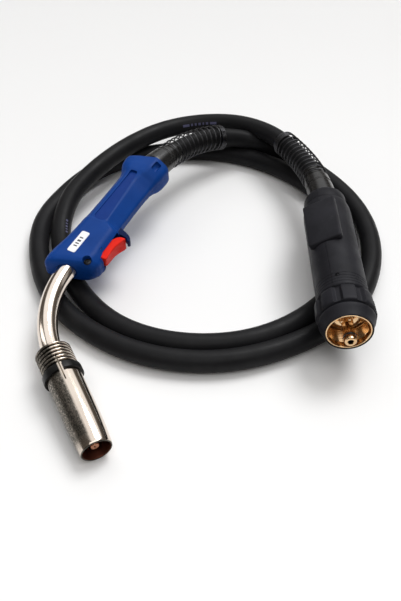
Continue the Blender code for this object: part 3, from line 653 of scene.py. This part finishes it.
# Half of the handle's section at places along it, all in mm: the right side stands at `right` up to
# `side`, leans in to the top face, which runs from `edge` to `far`, and comes down at `left` from `back`
HANDLE = {
    # y:     (right, side, edge, top, far, left, back, roundness, lean, fall)
    46.6: (21.0, 3.0, 13.0, 8.5, -9.0, -15.5, 4.5, 3.5, 0.34, 0.0),
    47.6: (24.0, 5.0, 15.5, 11.0, -11.0, -18.3, 6.5, 4.0, 0.34, 0.0),
    50.0: (26.4, 6.5, 17.5, 13.6, -13.0, -20.6, 8.5, 4.5, 0.33, 0.0),
    55.0: (27.6, 7.5, 19.0, 14.9, -14.0, -21.5, 9.5, 5.0, 0.25, 0.0),
    62.0: (27.6, 8.0, 19.5, 15.0, -13.5, -20.8, 9.5, 5.0, 0.12, 0.0),
    66.5: (28.2, 8.0, 19.5, 15.0, -12.9, -19.9, 9.5, 5.0, 0.05, 0.0),
    69.5: (27.6, 8.0, 19.5, 15.0, -12.5, -19.3, 9.5, 5.0, 0.02, 0.0),
    75.0: (25.6, 8.3, 19.2, 15.0, -12.0, -18.4, 9.5, 5.0, 0.0, 0.0),
    99.5: (25.0, 8.5, 18.0, 15.0, -11.0, -17.0, 9.5, 5.0, 0.0, 0.0),
    103.5: (24.0, 7.5, 14.0, 14.9, -11.0, -17.0, 9.5, 4.4, 0.0, 0.0),
    107.5: (19.6, 5.0, 7.8, 14.2, -10.5, -16.9, 8.5, 2.8, 0.0, 0.0),
    114.0: (18.3, 4.0, 6.9, 14.0, -10.5, -16.7, 8.0, 2.6, 0.0, 0.0),
    150.0: (17.6, 4.0, 4.6, 14.0, -10.5, -16.5, 8.0, 2.6, 0.0, 0.0),
    168.0: (17.9, 4.5, 3.0, 14.2, -10.5, -16.8, 8.0, 2.8, 0.0, 0.0),
    176.0: (19.0, 6.0, 4.4, 15.0, -10.5, -18.4, 8.6, 3.4, 0.0, 0.0),
    182.0: (20.6, 8.0, 7.6, 16.8, -11.4, -21.2, 9.9, 4.0, 0.03, 1.0),
    190.0: (21.9, 9.0, 9.6, 18.3, -12.8, -23.4, 11.6, 4.2, 0.08, 2.6),
    198.0: (22.0, 9.2, 10.4, 18.5, -13.2, -23.8, 12.2, 4.2, 0.13, 3.2),
    201.5: (21.6, 9.0, 10.2, 18.2, -13.0, -23.4, 12.0, 4.2, 0.14, 3.2),
    202.7: (20.8, 8.6, 9.8, 17.5, -12.5, -22.6, 11.6, 4.2, 0.14, 3.1),
    203.1: (19.4, 8.2, 9.2, 16.4, -11.8, -21.2, 11.0, 4.2, 0.14, 3.0),
}
HANDLE_SEAM = 0.12
# Start, end and number of sections along the handle, closest where its form changes fast
HANDLE_SPANS = (
    (46.6, 50.0, 9), (50.0, 99.0, 48), (99.0, 116.0, 34), (116.0, 168.0, 44), (168.0, 201.0, 44),
    (201.0, 203.1, 9),
)
# Behind this place the sections lean only as far out as this
LEAN_REAR, LEAN_REACH = 150.0, 8.0


def smooth_between(keys, values, wanted):
    """Monotone cubic interpolation of rows of values, so stations join without bumps."""
    keys, values = np.array(keys, float), np.array(values, float)
    steps = np.diff(keys)[:, None]
    slopes = np.diff(values, axis=0) / steps
    bend = np.zeros_like(values)
    before, after = slopes[:-1], slopes[1:]
    same = before * after > 0
    bend[1:-1] = np.where(same, 2 * before * after / np.where(same, before + after, 1.0), 0.0)
    bend[0], bend[-1] = slopes[0], slopes[-1]
    i = min(max(int(np.searchsorted(keys, wanted)) - 1, 0), len(keys) - 2)
    width = keys[i + 1] - keys[i]
    t = (wanted - keys[i]) / width
    return (
        values[i] * (2 * t ** 3 - 3 * t ** 2 + 1) + values[i + 1] * (3 * t ** 2 - 2 * t ** 3)
        + width * (bend[i] * (t ** 3 - 2 * t ** 2 + t) + bend[i + 1] * (t ** 3 - t ** 2))
    )


def rounded_line(corners, radii, per_corner=9, per_side=5):
    """Points along a bent line whose inner corners are rounded, ends kept."""
    corners = [Vector((*c, 0.0)) for c in corners]
    marks = [corners[0]]
    for i in range(1, len(corners) - 1):
        here, before, after = corners[i], corners[i - 1], corners[i + 1]
        reach = min(radii[i - 1], 0.48 * (here - before).length, 0.48 * (after - here).length)
        start = here + (before - here).normalized() * reach
        finish = here + (after - here).normalized() * reach
        for k in range(1, per_side):
            marks.append(marks[-1].lerp(start, 1.0 / (per_side - k + 1)))
        for k in range(per_corner + 1):
            t = k / per_corner
            marks.append(start * (1 - t) ** 2 + here * 2 * t * (1 - t) + finish * t ** 2)
    last = marks[-1]
    for k in range(1, per_side + 1):
        marks.append(last.lerp(corners[-1], k / per_side))
    return [(m.x, m.y) for m in marks]


def handle_half(name, up, look):
    """The upper (up = 1) or lower (up = -1) shell, closed along its seam."""
    keys = list(HANDLE)
    rows = [HANDLE[key] for key in keys]
    rings = []
    runs = np.concatenate([np.linspace(*span)[:-1] for span in HANDLE_SPANS] + [[HANDLE_SPANS[-1][1]]])
    for y in runs:
        right, side, edge, top, far, left, back, roundness, lean, fall = smooth_between(keys, rows, y)
        corners = [(right, 0.0), (right, side), (edge, top), (far, top - fall), (left, back), (left, 0.0)]
        outline = rounded_line(corners, (roundness, roundness * 0.75, roundness, roundness))
        ring = []
        for x, z in outline:
            shift = lean * (x if y < LEAN_REAR else min(x, LEAN_REACH))
            ring.append((x * MM, (y + shift) * MM, up * max(z, HANDLE_SEAM) * MM))
        rings.append(ring)
    return place_mesh(name, rings_to_shape(rings), look, TORCH, 40.0)


def block_cutter(outline, low, high):
    """A prism from a flat outline in the torch's X and Y, between two heights, in mm."""
    shape = bmesh.new()
    face = shape.faces.new([shape.verts.new((x * MM, y * MM, low * MM)) for x, y in outline])
    moved = bmesh.ops.extrude_face_region(shape, geom=[face])
    verts = [v for v in moved["geom"] if isinstance(v, bmesh.types.BMVert)]
    bmesh.ops.translate(shape, vec=(0, 0, (high - low) * MM), verts=verts)
    return place_mesh("cutter", shape, None, TORCH)


ALONG = Matrix.Rotation(math.pi / 2, 4, "X")
SCREW_PLACE = (18.0, 57.4)
TRIGGER_PIVOT = (20.5, 76.0)
PIVOT_BORE = 1.5
PANEL_FLOOR = 13.2
NECK_BORE = 9.35
CABLE_BORE = 15.0
SCREW_WELL = 4.3
TRIGGER_POCKET = [(13, 67.6), (45, 67.6), (45, 101.8), (13, 101.8)]
SWITCH_ROOM = [(8.2, 85.2), (14.6, 85.2), (14.6, 100.4), (8.2, 100.4)]


def panel_outline():
    """The sunk panel on the grip's top face: rounded in front, narrowing to the rear."""
    front = []
    for i in range(25):
        angle = math.pi + math.pi * i / 24
        front.append((6.9 * math.cos(angle), 110.8 + 5.0 * math.sin(angle)))
    return [*front, (0.6, 177.4), (0.0, 178.4), (-1.2, 179.0), (-5.6, 179.0), (-6.8, 178.4), (-7.1, 177.4)]


def upper_cutters():
    """What is cut from the upper shell alone: the screw's well, the sunk panel and the rear slot."""
    facet = TORCH @ Matrix.Rotation(math.radians(40), 4, "Y")
    return [
        rod_cutter("screw_cut", SCREW_WELL, 10.6, 20, TORCH, at=SCREW_PLACE, sides=48),
        block_cutter(panel_outline(), PANEL_FLOOR, 30),
        box("slot_cut", (-2.9, 188.0, 17.2), (4.3, 198.6, 30), None, facet, 1.6),
    ]


def grip_shell(side, up):
    """One half of the handle, with the room of what it holds cut out of it."""
    shell = handle_half(f"grip_shell_{side}", up, BLUE)
    cutters = [
        rod_cutter("neck_cut", NECK_BORE, -195, -20, TORCH @ ALONG, sides=64),
        rod_cutter("cable_cut", CABLE_BORE, -230, -190, TORCH @ ALONG, sides=64),
        block_cutter(TRIGGER_POCKET, -6.9, 10.1),
        block_cutter(SWITCH_ROOM, -5.4, 5.4),
        rod_cutter("pivot_cut", PIVOT_BORE, -12.7, 12.7, TORCH, at=TRIGGER_PIVOT),
    ]
    if up > 0:
        cutters += upper_cutters()
    cut(shell, *cutters)
    shell.data.materials.append(PANEL)
    for face in shell.data.polygons:
        if up > 0 and face.normal.z > 0.9 and abs(face.center.z - PANEL_FLOOR * MM) < 0.02 * MM:
            face.material_index = 1
    smooth(shell.data, 32)
    keep(shell, "torch", "blue_plastic", f"handle_shell_{side}")


grip_shell("upper", 1)
grip_shell("lower", -1)

# The screw in its recess, with a cross slot
head = turned(
    "grip_screw",
    [(0.01, 12.2), (1.6, 12.2), (2.9, 11.9), (3.5, 11.4), (3.55, 10.7), (0.01, 10.7)],
    BLACK_STEEL, TORCH, 48, closed=False, centre=SCREW_PLACE,
)
screw_axis = TORCH @ Matrix.Translation(Vector((*SCREW_PLACE, 0)) * MM)
for turn in (25, 115):
    slot_place = screw_axis @ Matrix.Rotation(math.radians(turn), 4, "Z")
    cut(head, box("cross", (-2.2, -0.42, 11.4), (2.2, 0.42, 14), None, slot_place))
keep(head, "torch", "steel", "handle_screw")

# The label: a rounded plate that stands just proud, with generic marks in place of lettering
label = box("name_label", (-4.7, 58.8, 14.6), (3.7, 85.8, 15.35), LABEL, TORCH, 0.0)
label_shape = bmesh.new()
label_shape.from_mesh(label.data)
upright = [e for e in label_shape.edges if abs(e.verts[0].co.z - e.verts[1].co.z) > 0.0005]
bmesh.ops.bevel(label_shape, geom=upright, offset=1.7 * MM, segments=6, profile=0.5, affect="EDGES")
label_shape.to_mesh(label.data)
label_shape.free()
keep(label, "torch", "white_label", "label_plate")
MARK_SIDE = -2.3
MARK_WIDTH = 3.6
MARK_LOW, MARK_HIGH = 15.3, 15.42
for start, length in ((66.0, 2.2), (69.2, 2.2), (72.4, 3.4), (76.8, 2.2)):
    low = (MARK_SIDE, start, MARK_LOW)
    high = (MARK_SIDE + MARK_WIDTH, start + length * 0.6, MARK_HIGH)
    mark = box("label_mark", low, high, INK, TORCH)
    keep(mark, "torch", "dark_switch_plastic")

# The lug behind the trigger: a thin curved wall, hooked over the lever's end. Its dark navy is painted
# shade: the lug is the handle's blue plastic in shadow.
lug_outline = [
    (22.0, 102.5), (28.0, 102.3), (31.5, 101.6), (33.4, 100.7), (34.2, 99.8), (34.6, 98.9),
    (35.8, 98.4), (36.9, 99.2), (37.1, 100.6), (35.9, 102.9), (33.4, 105.2), (29.8, 107.2),
    (25.0, 109.2), (20.6, 111.0),
]
lug = block_cutter(lug_outline, -0.5, 7.6)
lug.name = "trigger_guard_lug"
lug.data.materials.append(NAVY_AND_LUG_SHADE)
bevelled(lug, 0.5, 4)
keep(lug, "torch", "dark_switch_plastic")

# ---- trigger


TRIGGER_TOP, TRIGGER_BOTTOM = 9.3, -6.2
TRIGGER_CENTRE = (24.5, 86.0)
TRIGGER_ROUNDING = 0.9
TRIGGER_UPPER = [
    (17.2, 69.4), (21.0, 68.9), (25.5, 68.4), (29.4, 68.2), (30.7, 68.8), (30.9, 70.4),
    (30.5, 73.0), (30.1, 76.5), (29.9, 80.0), (30.0, 84.0), (30.5, 88.0), (31.4, 92.0),
    (32.5, 95.4), (33.3, 97.6), (33.4, 98.9), (32.2, 99.5), (29.6, 99.5), (27.2, 98.7),
    (25.0, 96.8), (22.8, 93.4), (20.0, 88.0), (17.2, 79.6),
]
TRIGGER_LOWER = [
    (17.2, 72.4), (21.0, 72.0), (24.0, 71.8), (26.0, 71.9), (27.0, 72.8), (27.3, 74.6),
    (27.5, 77.0), (27.6, 80.0), (27.7, 83.0), (28.1, 86.5), (28.9, 90.0), (30.0, 93.5),
    (31.2, 96.6), (32.0, 98.6), (32.1, 99.8), (31.2, 100.3), (28.6, 100.3), (26.0, 99.6),
    (23.6, 97.8), (21.8, 94.6), (20.0, 88.0), (17.2, 79.6),
]


def trigger_mesh():
    """The trigger's side outline, swept from its lower to its upper face, which stands further out."""
    centre = Vector(TRIGGER_CENTRE)
    rings = []
    for share in (0.0, 0.02, 0.06, 0.2, 0.4, 0.6, 0.8, 0.94, 0.98, 1.0):
        near_end = max(0.06 - share, share - 0.94, 0.0) / 0.06
        ring = []
        for low, high in zip(TRIGGER_LOWER, TRIGGER_UPPER):
            point = Vector(low).lerp(Vector(high), share)
            inward = (centre - point).normalized() * TRIGGER_ROUNDING * near_end ** 2
            z = TRIGGER_BOTTOM + (TRIGGER_TOP - TRIGGER_BOTTOM) * share
            ring.append(((point.x + inward.x) * MM, (point.y + inward.y) * MM, z * MM))
        rings.append(ring)
    return rings_to_shape(rings)


trigger = place_mesh("trigger_lever", trigger_mesh(), RED, TORCH, 32.0)
cut(trigger, rod_cutter("pivot_cut", PIVOT_BORE, -15, 15, TORCH, at=TRIGGER_PIVOT))
smooth(trigger.data, 32)
bevelled(trigger, 0.5, 3, 40)
keep(trigger, "trigger", "red_plastic", "trigger")


# ---- nozzle, consumables and neck

RIBS = 6
RIB_PITCH = 3.6
RIB = (
    (13.8, 0.0), (15.0, 0.3), (15.6, 0.65), (15.8, 1.1), (15.8, 1.4), (15.6, 1.85), (15.0, 2.2),
    (13.8, 2.5),
)
NOZZLE_REAR = 104.0


def nozzle_profile():
    """The gas nozzle's wall, from its rear down the outside and back up the bore, in mm."""
    outer = [(13.4, NOZZLE_REAR), (14.0, NOZZLE_REAR - 0.2)]
    for rib in range(RIBS):
        top = NOZZLE_REAR - 0.6 - rib * RIB_PITCH
        outer += [(r, top - drop) for r, drop in RIB]
    outer += [
        (14.2, 82.0), (15.0, 81.6), (15.0, 60.0), (15.0, 44.0), (14.98, 33.0), (14.9, 28.0),
        (14.72, 22.0), (14.45, 16.0), (14.1, 10.0), (13.72, 5.0), (13.42, 2.2), (13.2, 1.0),
        (12.9, 0.35), (12.5, 0.06),
    ]
    bore = [
        (12.2, 0.06), (11.85, 0.4), (11.6, 1.2), (11.6, 20.0), (11.6, 58.0), (12.4, 60.0),
        (12.4, NOZZLE_REAR),
    ]
    return outer + bore


nozzle = turned("nozzle_tube", nozzle_profile(), NOZZLE_NICKEL, NOZZLE, 128, sharp=38.0)
nozzle.data.materials.append(SOOTED)
for face in nozzle.data.polygons:
    centre = face.center
    if math.hypot(centre.x, centre.y) < 12.1 * MM and centre.z > 0.8 * MM:
        face.material_index = 1
cut(
    nozzle,
    box("slit_1", (-0.6, 8, 63.5), (0.6, 20, 90.0), None, NOZZLE, 0.3),
    box("slit_2", (-0.6, -20, 63.5), (0.6, -8, 90.0), None, NOZZLE, 0.3),
)
smooth(nozzle.data, 38)
keep(nozzle, "nozzle", "nickel_plate", "gas_nozzle")


def ring_open_at_top(name, inner, outer, low, high, gap, look):
    """A split ring round the nozzle, open by `gap` mm at its top, with a rounded section and flat ends."""
    soft = 0.7
    middle = (inner + outer) / 2
    section = rounded_line(
        [(middle, low), (outer, low), (outer, high), (inner, high), (inner, low), (middle, low)],
        (soft, soft, soft, soft), 4, 2,
    )[:-1]
    half = gap / 2 / outer
    rings = []
    for angle in np.linspace(math.pi / 2 + half, math.pi / 2 + 2 * math.pi - half, 120):
        rings.append([(r * math.cos(angle) * MM, r * math.sin(angle) * MM, z * MM) for r, z in section])
    return place_mesh(name, rings_to_shape(rings), look, NOZZLE, 45.0)


clip = ring_open_at_top("clip_band", 15.25, 17.2, 73.6, 80.4, 4.4, CLIP)
keep(clip, "nozzle", "black_plastic", "nozzle_clip_ring")

tip = turned(
    "tip",
    [(4.4, 36.0), (5.0, 35.4), (5.0, 10.4), (4.85, 9.8), (3.75, 5.0), (3.4, 4.25), (3.1, 4.0), (1.3, 4.0),
     (0.9, 4.4), (0.9, 22.0), (0.01, 22.0)],
    COPPER, NOZZLE, 64, closed=False,
)
keep(tip, "torch", "copper", "contact_tip")
holder = turned(
    "tip_seat",
    [(0.01, 60.0), (7.2, 60.0), (7.8, 59.4), (7.8, 38.6), (7.2, 37.4), (6.2, 36.3), (0.01, 36.3)],
    COPPER, NOZZLE, 48, closed=False,
)
keep(holder, "torch", "copper", "tip_holder")

neck_points = [mouth_place - forward * 84.3 * MM]
bend_centre = NECK_CORNER + Vector((NECK_BEND_RADIUS, NECK_BEND_RADIUS * math.tan(NECK_BEND / 2), 0.0))
for i in range(61):
    angle = NECK_BEND * (1 - i / 60)
    around = Vector((-math.cos(angle), -math.sin(angle), 0.0))
    neck_points.append(bend_centre + around * NECK_BEND_RADIUS)
neck_points.append(Vector((0.0, 0.085, 0.0)))
neck_count = len(neck_points)
neck = pipe_wall(
    "neck_tube", neck_points, [9.0 * MM] * neck_count, [5.4 * MM] * neck_count, NECK_NICKEL, 96, 38.0, TORCH
)
keep(neck, "torch", "nickel_plate", "neck_outer_tube")

# ---- connector

LOBES = 8
LOBE_DEPTH = 3.3
SKIRT_RADIUS = 24.0
LOBES_START = (14.0, 15.2)
LOBES_END = (31.6, 33.4)
NUT_END = 32.8


def lobed(angle, radius, height):
    """Scallops between the nut's finger lobes, run out softly at both ends."""
    if radius < SKIRT_RADIUS or height < LOBES_START[0]:
        return radius
    hollow = LOBE_DEPTH * eased(-math.cos(LOBES * angle), 0.15, 0.85)
    return radius - hollow * eased(height, *LOBES_START) * (1 - eased(height, *LOBES_END))


nut_outer = [
    (19.8, NUT_END), (23.2, NUT_END), (24.3, NUT_END - 0.2), (25.1, NUT_END - 0.7),
    (25.5, NUT_END - 1.5), (25.6, NUT_END - 4.0), (25.8, 24.0), (25.9, 18.0), (25.9, 16.0),
    (25.6, 14.9), (24.9, 14.3), (22.8, 14.1), (22.0, 13.4), (22.0, 12.5), (24.0, 12.1),
    (24.4, 11.5), (24.3, 10.4), (23.5, 8.6), (22.6, 6.5), (21.9, 4.5), (21.4, 2.7), (21.1, 1.2),
    (20.9, 0.35), (20.7, 0.05), (20.3, 0.0), (20.0, 0.3),
]
nut_inner = [(19.9, 27.3), (19.5, 27.4), (19.5, NUT_END - 0.2)]
nut = turned("nut_ring", nut_outer + nut_inner, HOUSING, CONNECTOR, 256, wobble=lobed, sharp=40.0)
keep(nut, "connector_nut", "black_plastic", "connector_nut")

thread = [(19.6, 27.1), (19.6, 0.7), (19.3, 0.3), (18.9, 0.15), (18.4, 0.25), (18.05, 0.8), (18.0, 5.0)]
for turn in range(9):
    start = 5.4 + turn * 2.0
    thread += [(17.95, start), (18.55, start + 0.9), (18.55, start + 1.1), (17.95, start + 2.0)]
thread += [(17.95, 26.0), (17.95, 27.1)]
insert = turned("nut_thread", thread, BRASS, CONNECTOR, 128, sharp=30.0)
keep(insert, "connector_nut", "brass", "connector_nut_insert")

GAS_BORE = 5.6
BUSH_BORE = 3.3
PIN_RING = 11.0
PIN_ANGLES = (math.radians(3.0), math.radians(37.0))
pin_places = [(PIN_RING * math.sin(lean), PIN_RING * math.cos(lean)) for lean in PIN_ANGLES]
block = turned(
    "contact_block",
    [(0.01, 30.1), (17.2, 30.1), (17.2, 19.4), (17.0, 18.8), (16.5, 18.4), (14.6, 18.4),
     (14.3, 18.7), (13.9, 18.7), (13.6, 18.4), (0.01, 18.4)],
    BRASS, CONNECTOR, 96, closed=False,
)
cut(
    block, rod_cutter("gas_cut", GAS_BORE, 10, 40, CONNECTOR, sides=64),
    *[rod_cutter("bush_cut", BUSH_BORE, 10, 40, CONNECTOR, at=place, sides=40) for place in pin_places],
)
keep(block, "torch", "brass", "connector_block")
gas_pin = turned(
    "gas_spigot",
    [(0.01, 30.0), (5.2, 30.0), (5.2, 8.4), (5.0, 8.0), (5.0, 6.6), (5.2, 6.2), (5.2, -4.2), (4.3, -4.45),
     (4.3, -6.35), (5.2, -6.6), (5.2, -9.6), (5.0, -10.6), (4.5, -11.1), (4.0, -11.2), (2.8, -11.2),
     (2.4, -10.8),
     (2.3, -9.6), (2.3, 5.9), (0.01, 5.9)],
    BRASS, CONNECTOR, 72, closed=False, sharp=30.0,
)
keep(gas_pin, "torch", "brass", "gas_pin")
SEAL_RING, SEAL_HEIGHT, SEAL_WIRE = 4.95, -5.4, 0.62
seal_points = []
for i in range(16):
    angle = 2 * math.pi * i / 16
    seal_points.append((SEAL_RING + SEAL_WIRE * math.cos(angle), SEAL_HEIGHT + SEAL_WIRE * math.sin(angle)))
seal = turned("spigot_seal", seal_points, SLEEVE, CONNECTOR, 64)
keep(seal, "torch", "black_rubber", "gas_pin_o_ring")
pins = []
for number, place in enumerate(pin_places, start=1):
    bush = turned(
        f"pin_bush_{number}",
        [(3.0, 29.9), (3.0, 15.4), (2.7, 14.9), (2.4, 14.6), (2.1, 14.6), (1.9, 14.9), (1.9, 29.9)],
        BUSH, CONNECTOR, 48, centre=place,
    )
    keep(bush, "torch", "dark_switch_plastic", f"contact_bush_{number}")
    pin = turned(
        f"pin_{number}",
        [(0.01, 24.0), (1.55, 24.0), (1.55, 4.8), (1.45, 4.0), (1.1, 3.3), (0.6, 3.05), (0.01, 3.0)],
        BRASS, CONNECTOR, 40, closed=False, centre=place,
    )
    keep(pin, f"contact_pin_{number}", "brass", f"contact_pin_{number}")
    pins += [bush, pin]

# The housing: two shells that meet on a plane through the axis
SHELL_LOW, SHELL_HIGH = 33.3, 177.5
shell_outer = [
    (10.95, SHELL_HIGH), (17.8, SHELL_HIGH), (19.2, SHELL_HIGH - 0.25), (20.1, SHELL_HIGH - 0.9),
    (20.5, SHELL_HIGH - 2.0), (20.8, 164.2), (20.7, 163.8), (20.4, 163.6), (20.4, 163.0),
    (20.9, 162.7), (21.6, 162.2), (22.0, 161.0), (22.6, 157.0), (23.0, 151.0), (23.0, 120.0),
    (23.0, 80.0), (23.0, 54.0),
]
for line_low in (50.0, 46.6, 43.2, 39.8):
    shell_outer += [(23.0, line_low), (22.75, line_low - 0.25), (22.75, line_low - 0.55)]
    shell_outer.append((23.0, line_low - 0.8))
shell_outer += [(23.0, 36.9), (22.8, 36.2), (22.0, 35.4), (20.9, 34.9), (20.7, SHELL_LOW)]
shell_inner = [(19.8, SHELL_LOW), (19.8, 172.0), (10.95, 172.0)]
SHELL_SCREW = (-5.0, 47.5)


def housing_shell(side, low, high):
    """One half of the housing: what lies between two corners, with the pad's seat cut out."""
    shell = turned(f"housing_{side}", shell_outer + shell_inner, HOUSING, CLOCK, 128, sharp=35.0)
    cut(shell, box("half", low, high, None, CLOCK), operation="INTERSECT")
    cut(shell, box("seat", (-16.35, 18.85, 93.25), (16.35, 40, 152.75), None, CLOCK))
    if side == "right":
        cut(shell, rod_cutter("screw_cut", 1.9, -30, -19.8, CLOCK @ ALONG, at=SHELL_SCREW))
    smooth(shell.data, 35)
    keep(shell, "torch", "black_plastic", f"connector_shell_{side}")
    return shell


housing = [
    housing_shell("right", (-60, -60, -5), (-0.12, 60, 220)),
    housing_shell("left", (0.12, -60, -5), (60, 60, 220)),
]

PAD_MIDDLE = 123.0
PAD_HALF_WIDTH, PAD_HALF_LENGTH = 16.0, 29.0


def pad_mesh():
    """The cover pad: a plate with rounded corners and a rounded upper edge."""
    outline = rounded_line(
        [(0.0, 94.0), (16.0, 94.0), (16.0, 152.0), (-16.0, 152.0), (-16.0, 94.0), (0.0, 94.0)],
        (2.5, 2.5, 2.5, 2.5), 6, 3,
    )[:-1]
    rings = []
    for height, shrink in ((19.1, 0.0), (23.2, 0.0), (23.9, 0.25), (24.35, 0.75), (24.6, 1.5)):
        ring = []
        for x, z in outline:
            across = x * (1 - shrink / PAD_HALF_WIDTH)
            along = PAD_MIDDLE + (z - PAD_MIDDLE) * (1 - shrink / PAD_HALF_LENGTH)
            ring.append((across * MM, height * MM, along * MM))
        rings.append(ring)
    return rings_to_shape(rings)


pad = place_mesh("housing_pad", pad_mesh(), HOUSING, CLOCK, 40.0)
keep(pad, "torch", "black_plastic", "connector_cover_pad")
screw = turned(
    "housing_screw",
    [(0.01, 22.4), (0.7, 22.4), (1.2, 22.1), (1.3, 21.6), (1.3, 20.2), (0.01, 20.2)],
    BLACK_STEEL, CLOCK @ Matrix.Rotation(-math.pi / 2, 4, "X"), 32, closed=False,
    centre=(SHELL_SCREW[0], -SHELL_SCREW[1]),
)
keep(screw, "torch", "steel", "connector_shell_screw")


# ---- floor, light and camera

floor_shape = bmesh.new()
bmesh.ops.create_grid(floor_shape, x_segments=1, y_segments=1, size=40.0)
floor = place_mesh("floor", floor_shape, None)
floor_look = Look("floor_look", (0.90, 0.90, 0.90), 0.6)
floor_look.colour(floor_look.blend(floor_look.noise(3.0), (0.89, 0.89, 0.89), (0.91, 0.91, 0.91)))
floor.data.materials.append(floor_look.made)


def area_light(name, place, aim, width, height, power):
    """A rectangular lamp that faces the aim."""
    data = bpy.data.lights.new(name, "AREA")
    data.shape = "RECTANGLE"
    data.size = width
    data.size_y = height
    data.energy = power
    made = bpy.data.objects.new(name, data)
    scene.collection.objects.link(made)
    made.location = place
    made.rotation_euler = (Vector(aim) - Vector(place)).to_track_quat("-Z", "Y").to_euler()


area_light("softbox_front", (0.25, -0.75, 1.6), (0.08, -0.05, 0.0), width=2.2, height=1.2, power=13.0)
area_light("strip_left", (-1.3, 0.5, 0.7), (0.0, 0.05, 0.03), width=0.25, height=0.9, power=1.2)
area_light("strip_right", (1.5, 0.4, 0.8), (0.15, 0.05, 0.03), width=0.25, height=0.9, power=0.25)

SUN_POWER = 1.45
SUN_WIDTH = math.radians(28)
SUN_TURN = (math.radians(-24), math.radians(22), 0)
sun_data = bpy.data.lights.new("key", "SUN")
sun_data.energy = SUN_POWER
sun_data.angle = SUN_WIDTH
sun = bpy.data.objects.new("key", sun_data)
scene.collection.objects.link(sun)
sun.rotation_euler = SUN_TURN

# A dim room with one large round softbox above and behind, so that polished metal shows a broad
# bright band between dark ones
world = bpy.data.worlds.new("studio")
scene.world = world
world.use_nodes = True
nodes, links = world.node_tree.nodes, world.node_tree.links
SOFTBOX_CENTRE = Vector((0.06, 0.52, 0.85)).normalized()
SOFTBOX_EDGE = (0.76, 0.83)
SOFTBOX_COLOUR = (1.0, 1.0, 1.0, 1.0)
ROOM_COLOUR = (0.085, 0.075, 0.065, 1.0)
ROOM_STRENGTH = 1.1
WALL_COLOUR = (0.62, 0.62, 0.62, 1.0)
facing = nodes.new("ShaderNodeVectorMath")
facing.operation = "DOT_PRODUCT"
facing.inputs[1].default_value = SOFTBOX_CENTRE
links.new(nodes.new("ShaderNodeTexCoord").outputs["Generated"], facing.inputs[0])
room = nodes.new("ShaderNodeValToRGB")
for element, edge, tone in zip(room.color_ramp.elements, SOFTBOX_EDGE, (ROOM_COLOUR, SOFTBOX_COLOUR)):
    element.position = edge
    element.color = tone
links.new(facing.outputs["Value"], room.inputs["Fac"])
links.new(room.outputs["Color"], nodes["Background"].inputs["Color"])
nodes["Background"].inputs["Strength"].default_value = ROOM_STRENGTH

# Behind the floor's far edge the camera sees a pale wall
wall = nodes.new("ShaderNodeBackground")
wall.inputs["Color"].default_value = WALL_COLOUR
seen = nodes.new("ShaderNodeMixShader")
links.new(nodes.new("ShaderNodeLightPath").outputs["Is Camera Ray"], seen.inputs["Fac"])
links.new(nodes["Background"].outputs["Background"], seen.inputs[1])
links.new(wall.outputs["Background"], seen.inputs[2])
links.new(seen.outputs["Shader"], nodes["World Output"].inputs["Surface"])
scene.view_settings.view_transform = "Standard"

CAMERA_PLACE = (0.0897, -0.5133, 0.5128)
CAMERA_TILT = math.radians(46.0)
SENSOR_HEIGHT = 36.0
LENS = 46.52
camera_data = bpy.data.cameras.new("camera")
camera_data.sensor_fit = "VERTICAL"
camera_data.sensor_height = SENSOR_HEIGHT
camera_data.lens = LENS
camera = bpy.data.objects.new("camera", camera_data)
scene.collection.objects.link(camera)
camera.location = CAMERA_PLACE
camera.rotation_euler = (CAMERA_TILT, 0.0, 0.0)
scene.camera = camera

bpy.context.view_layer.update()
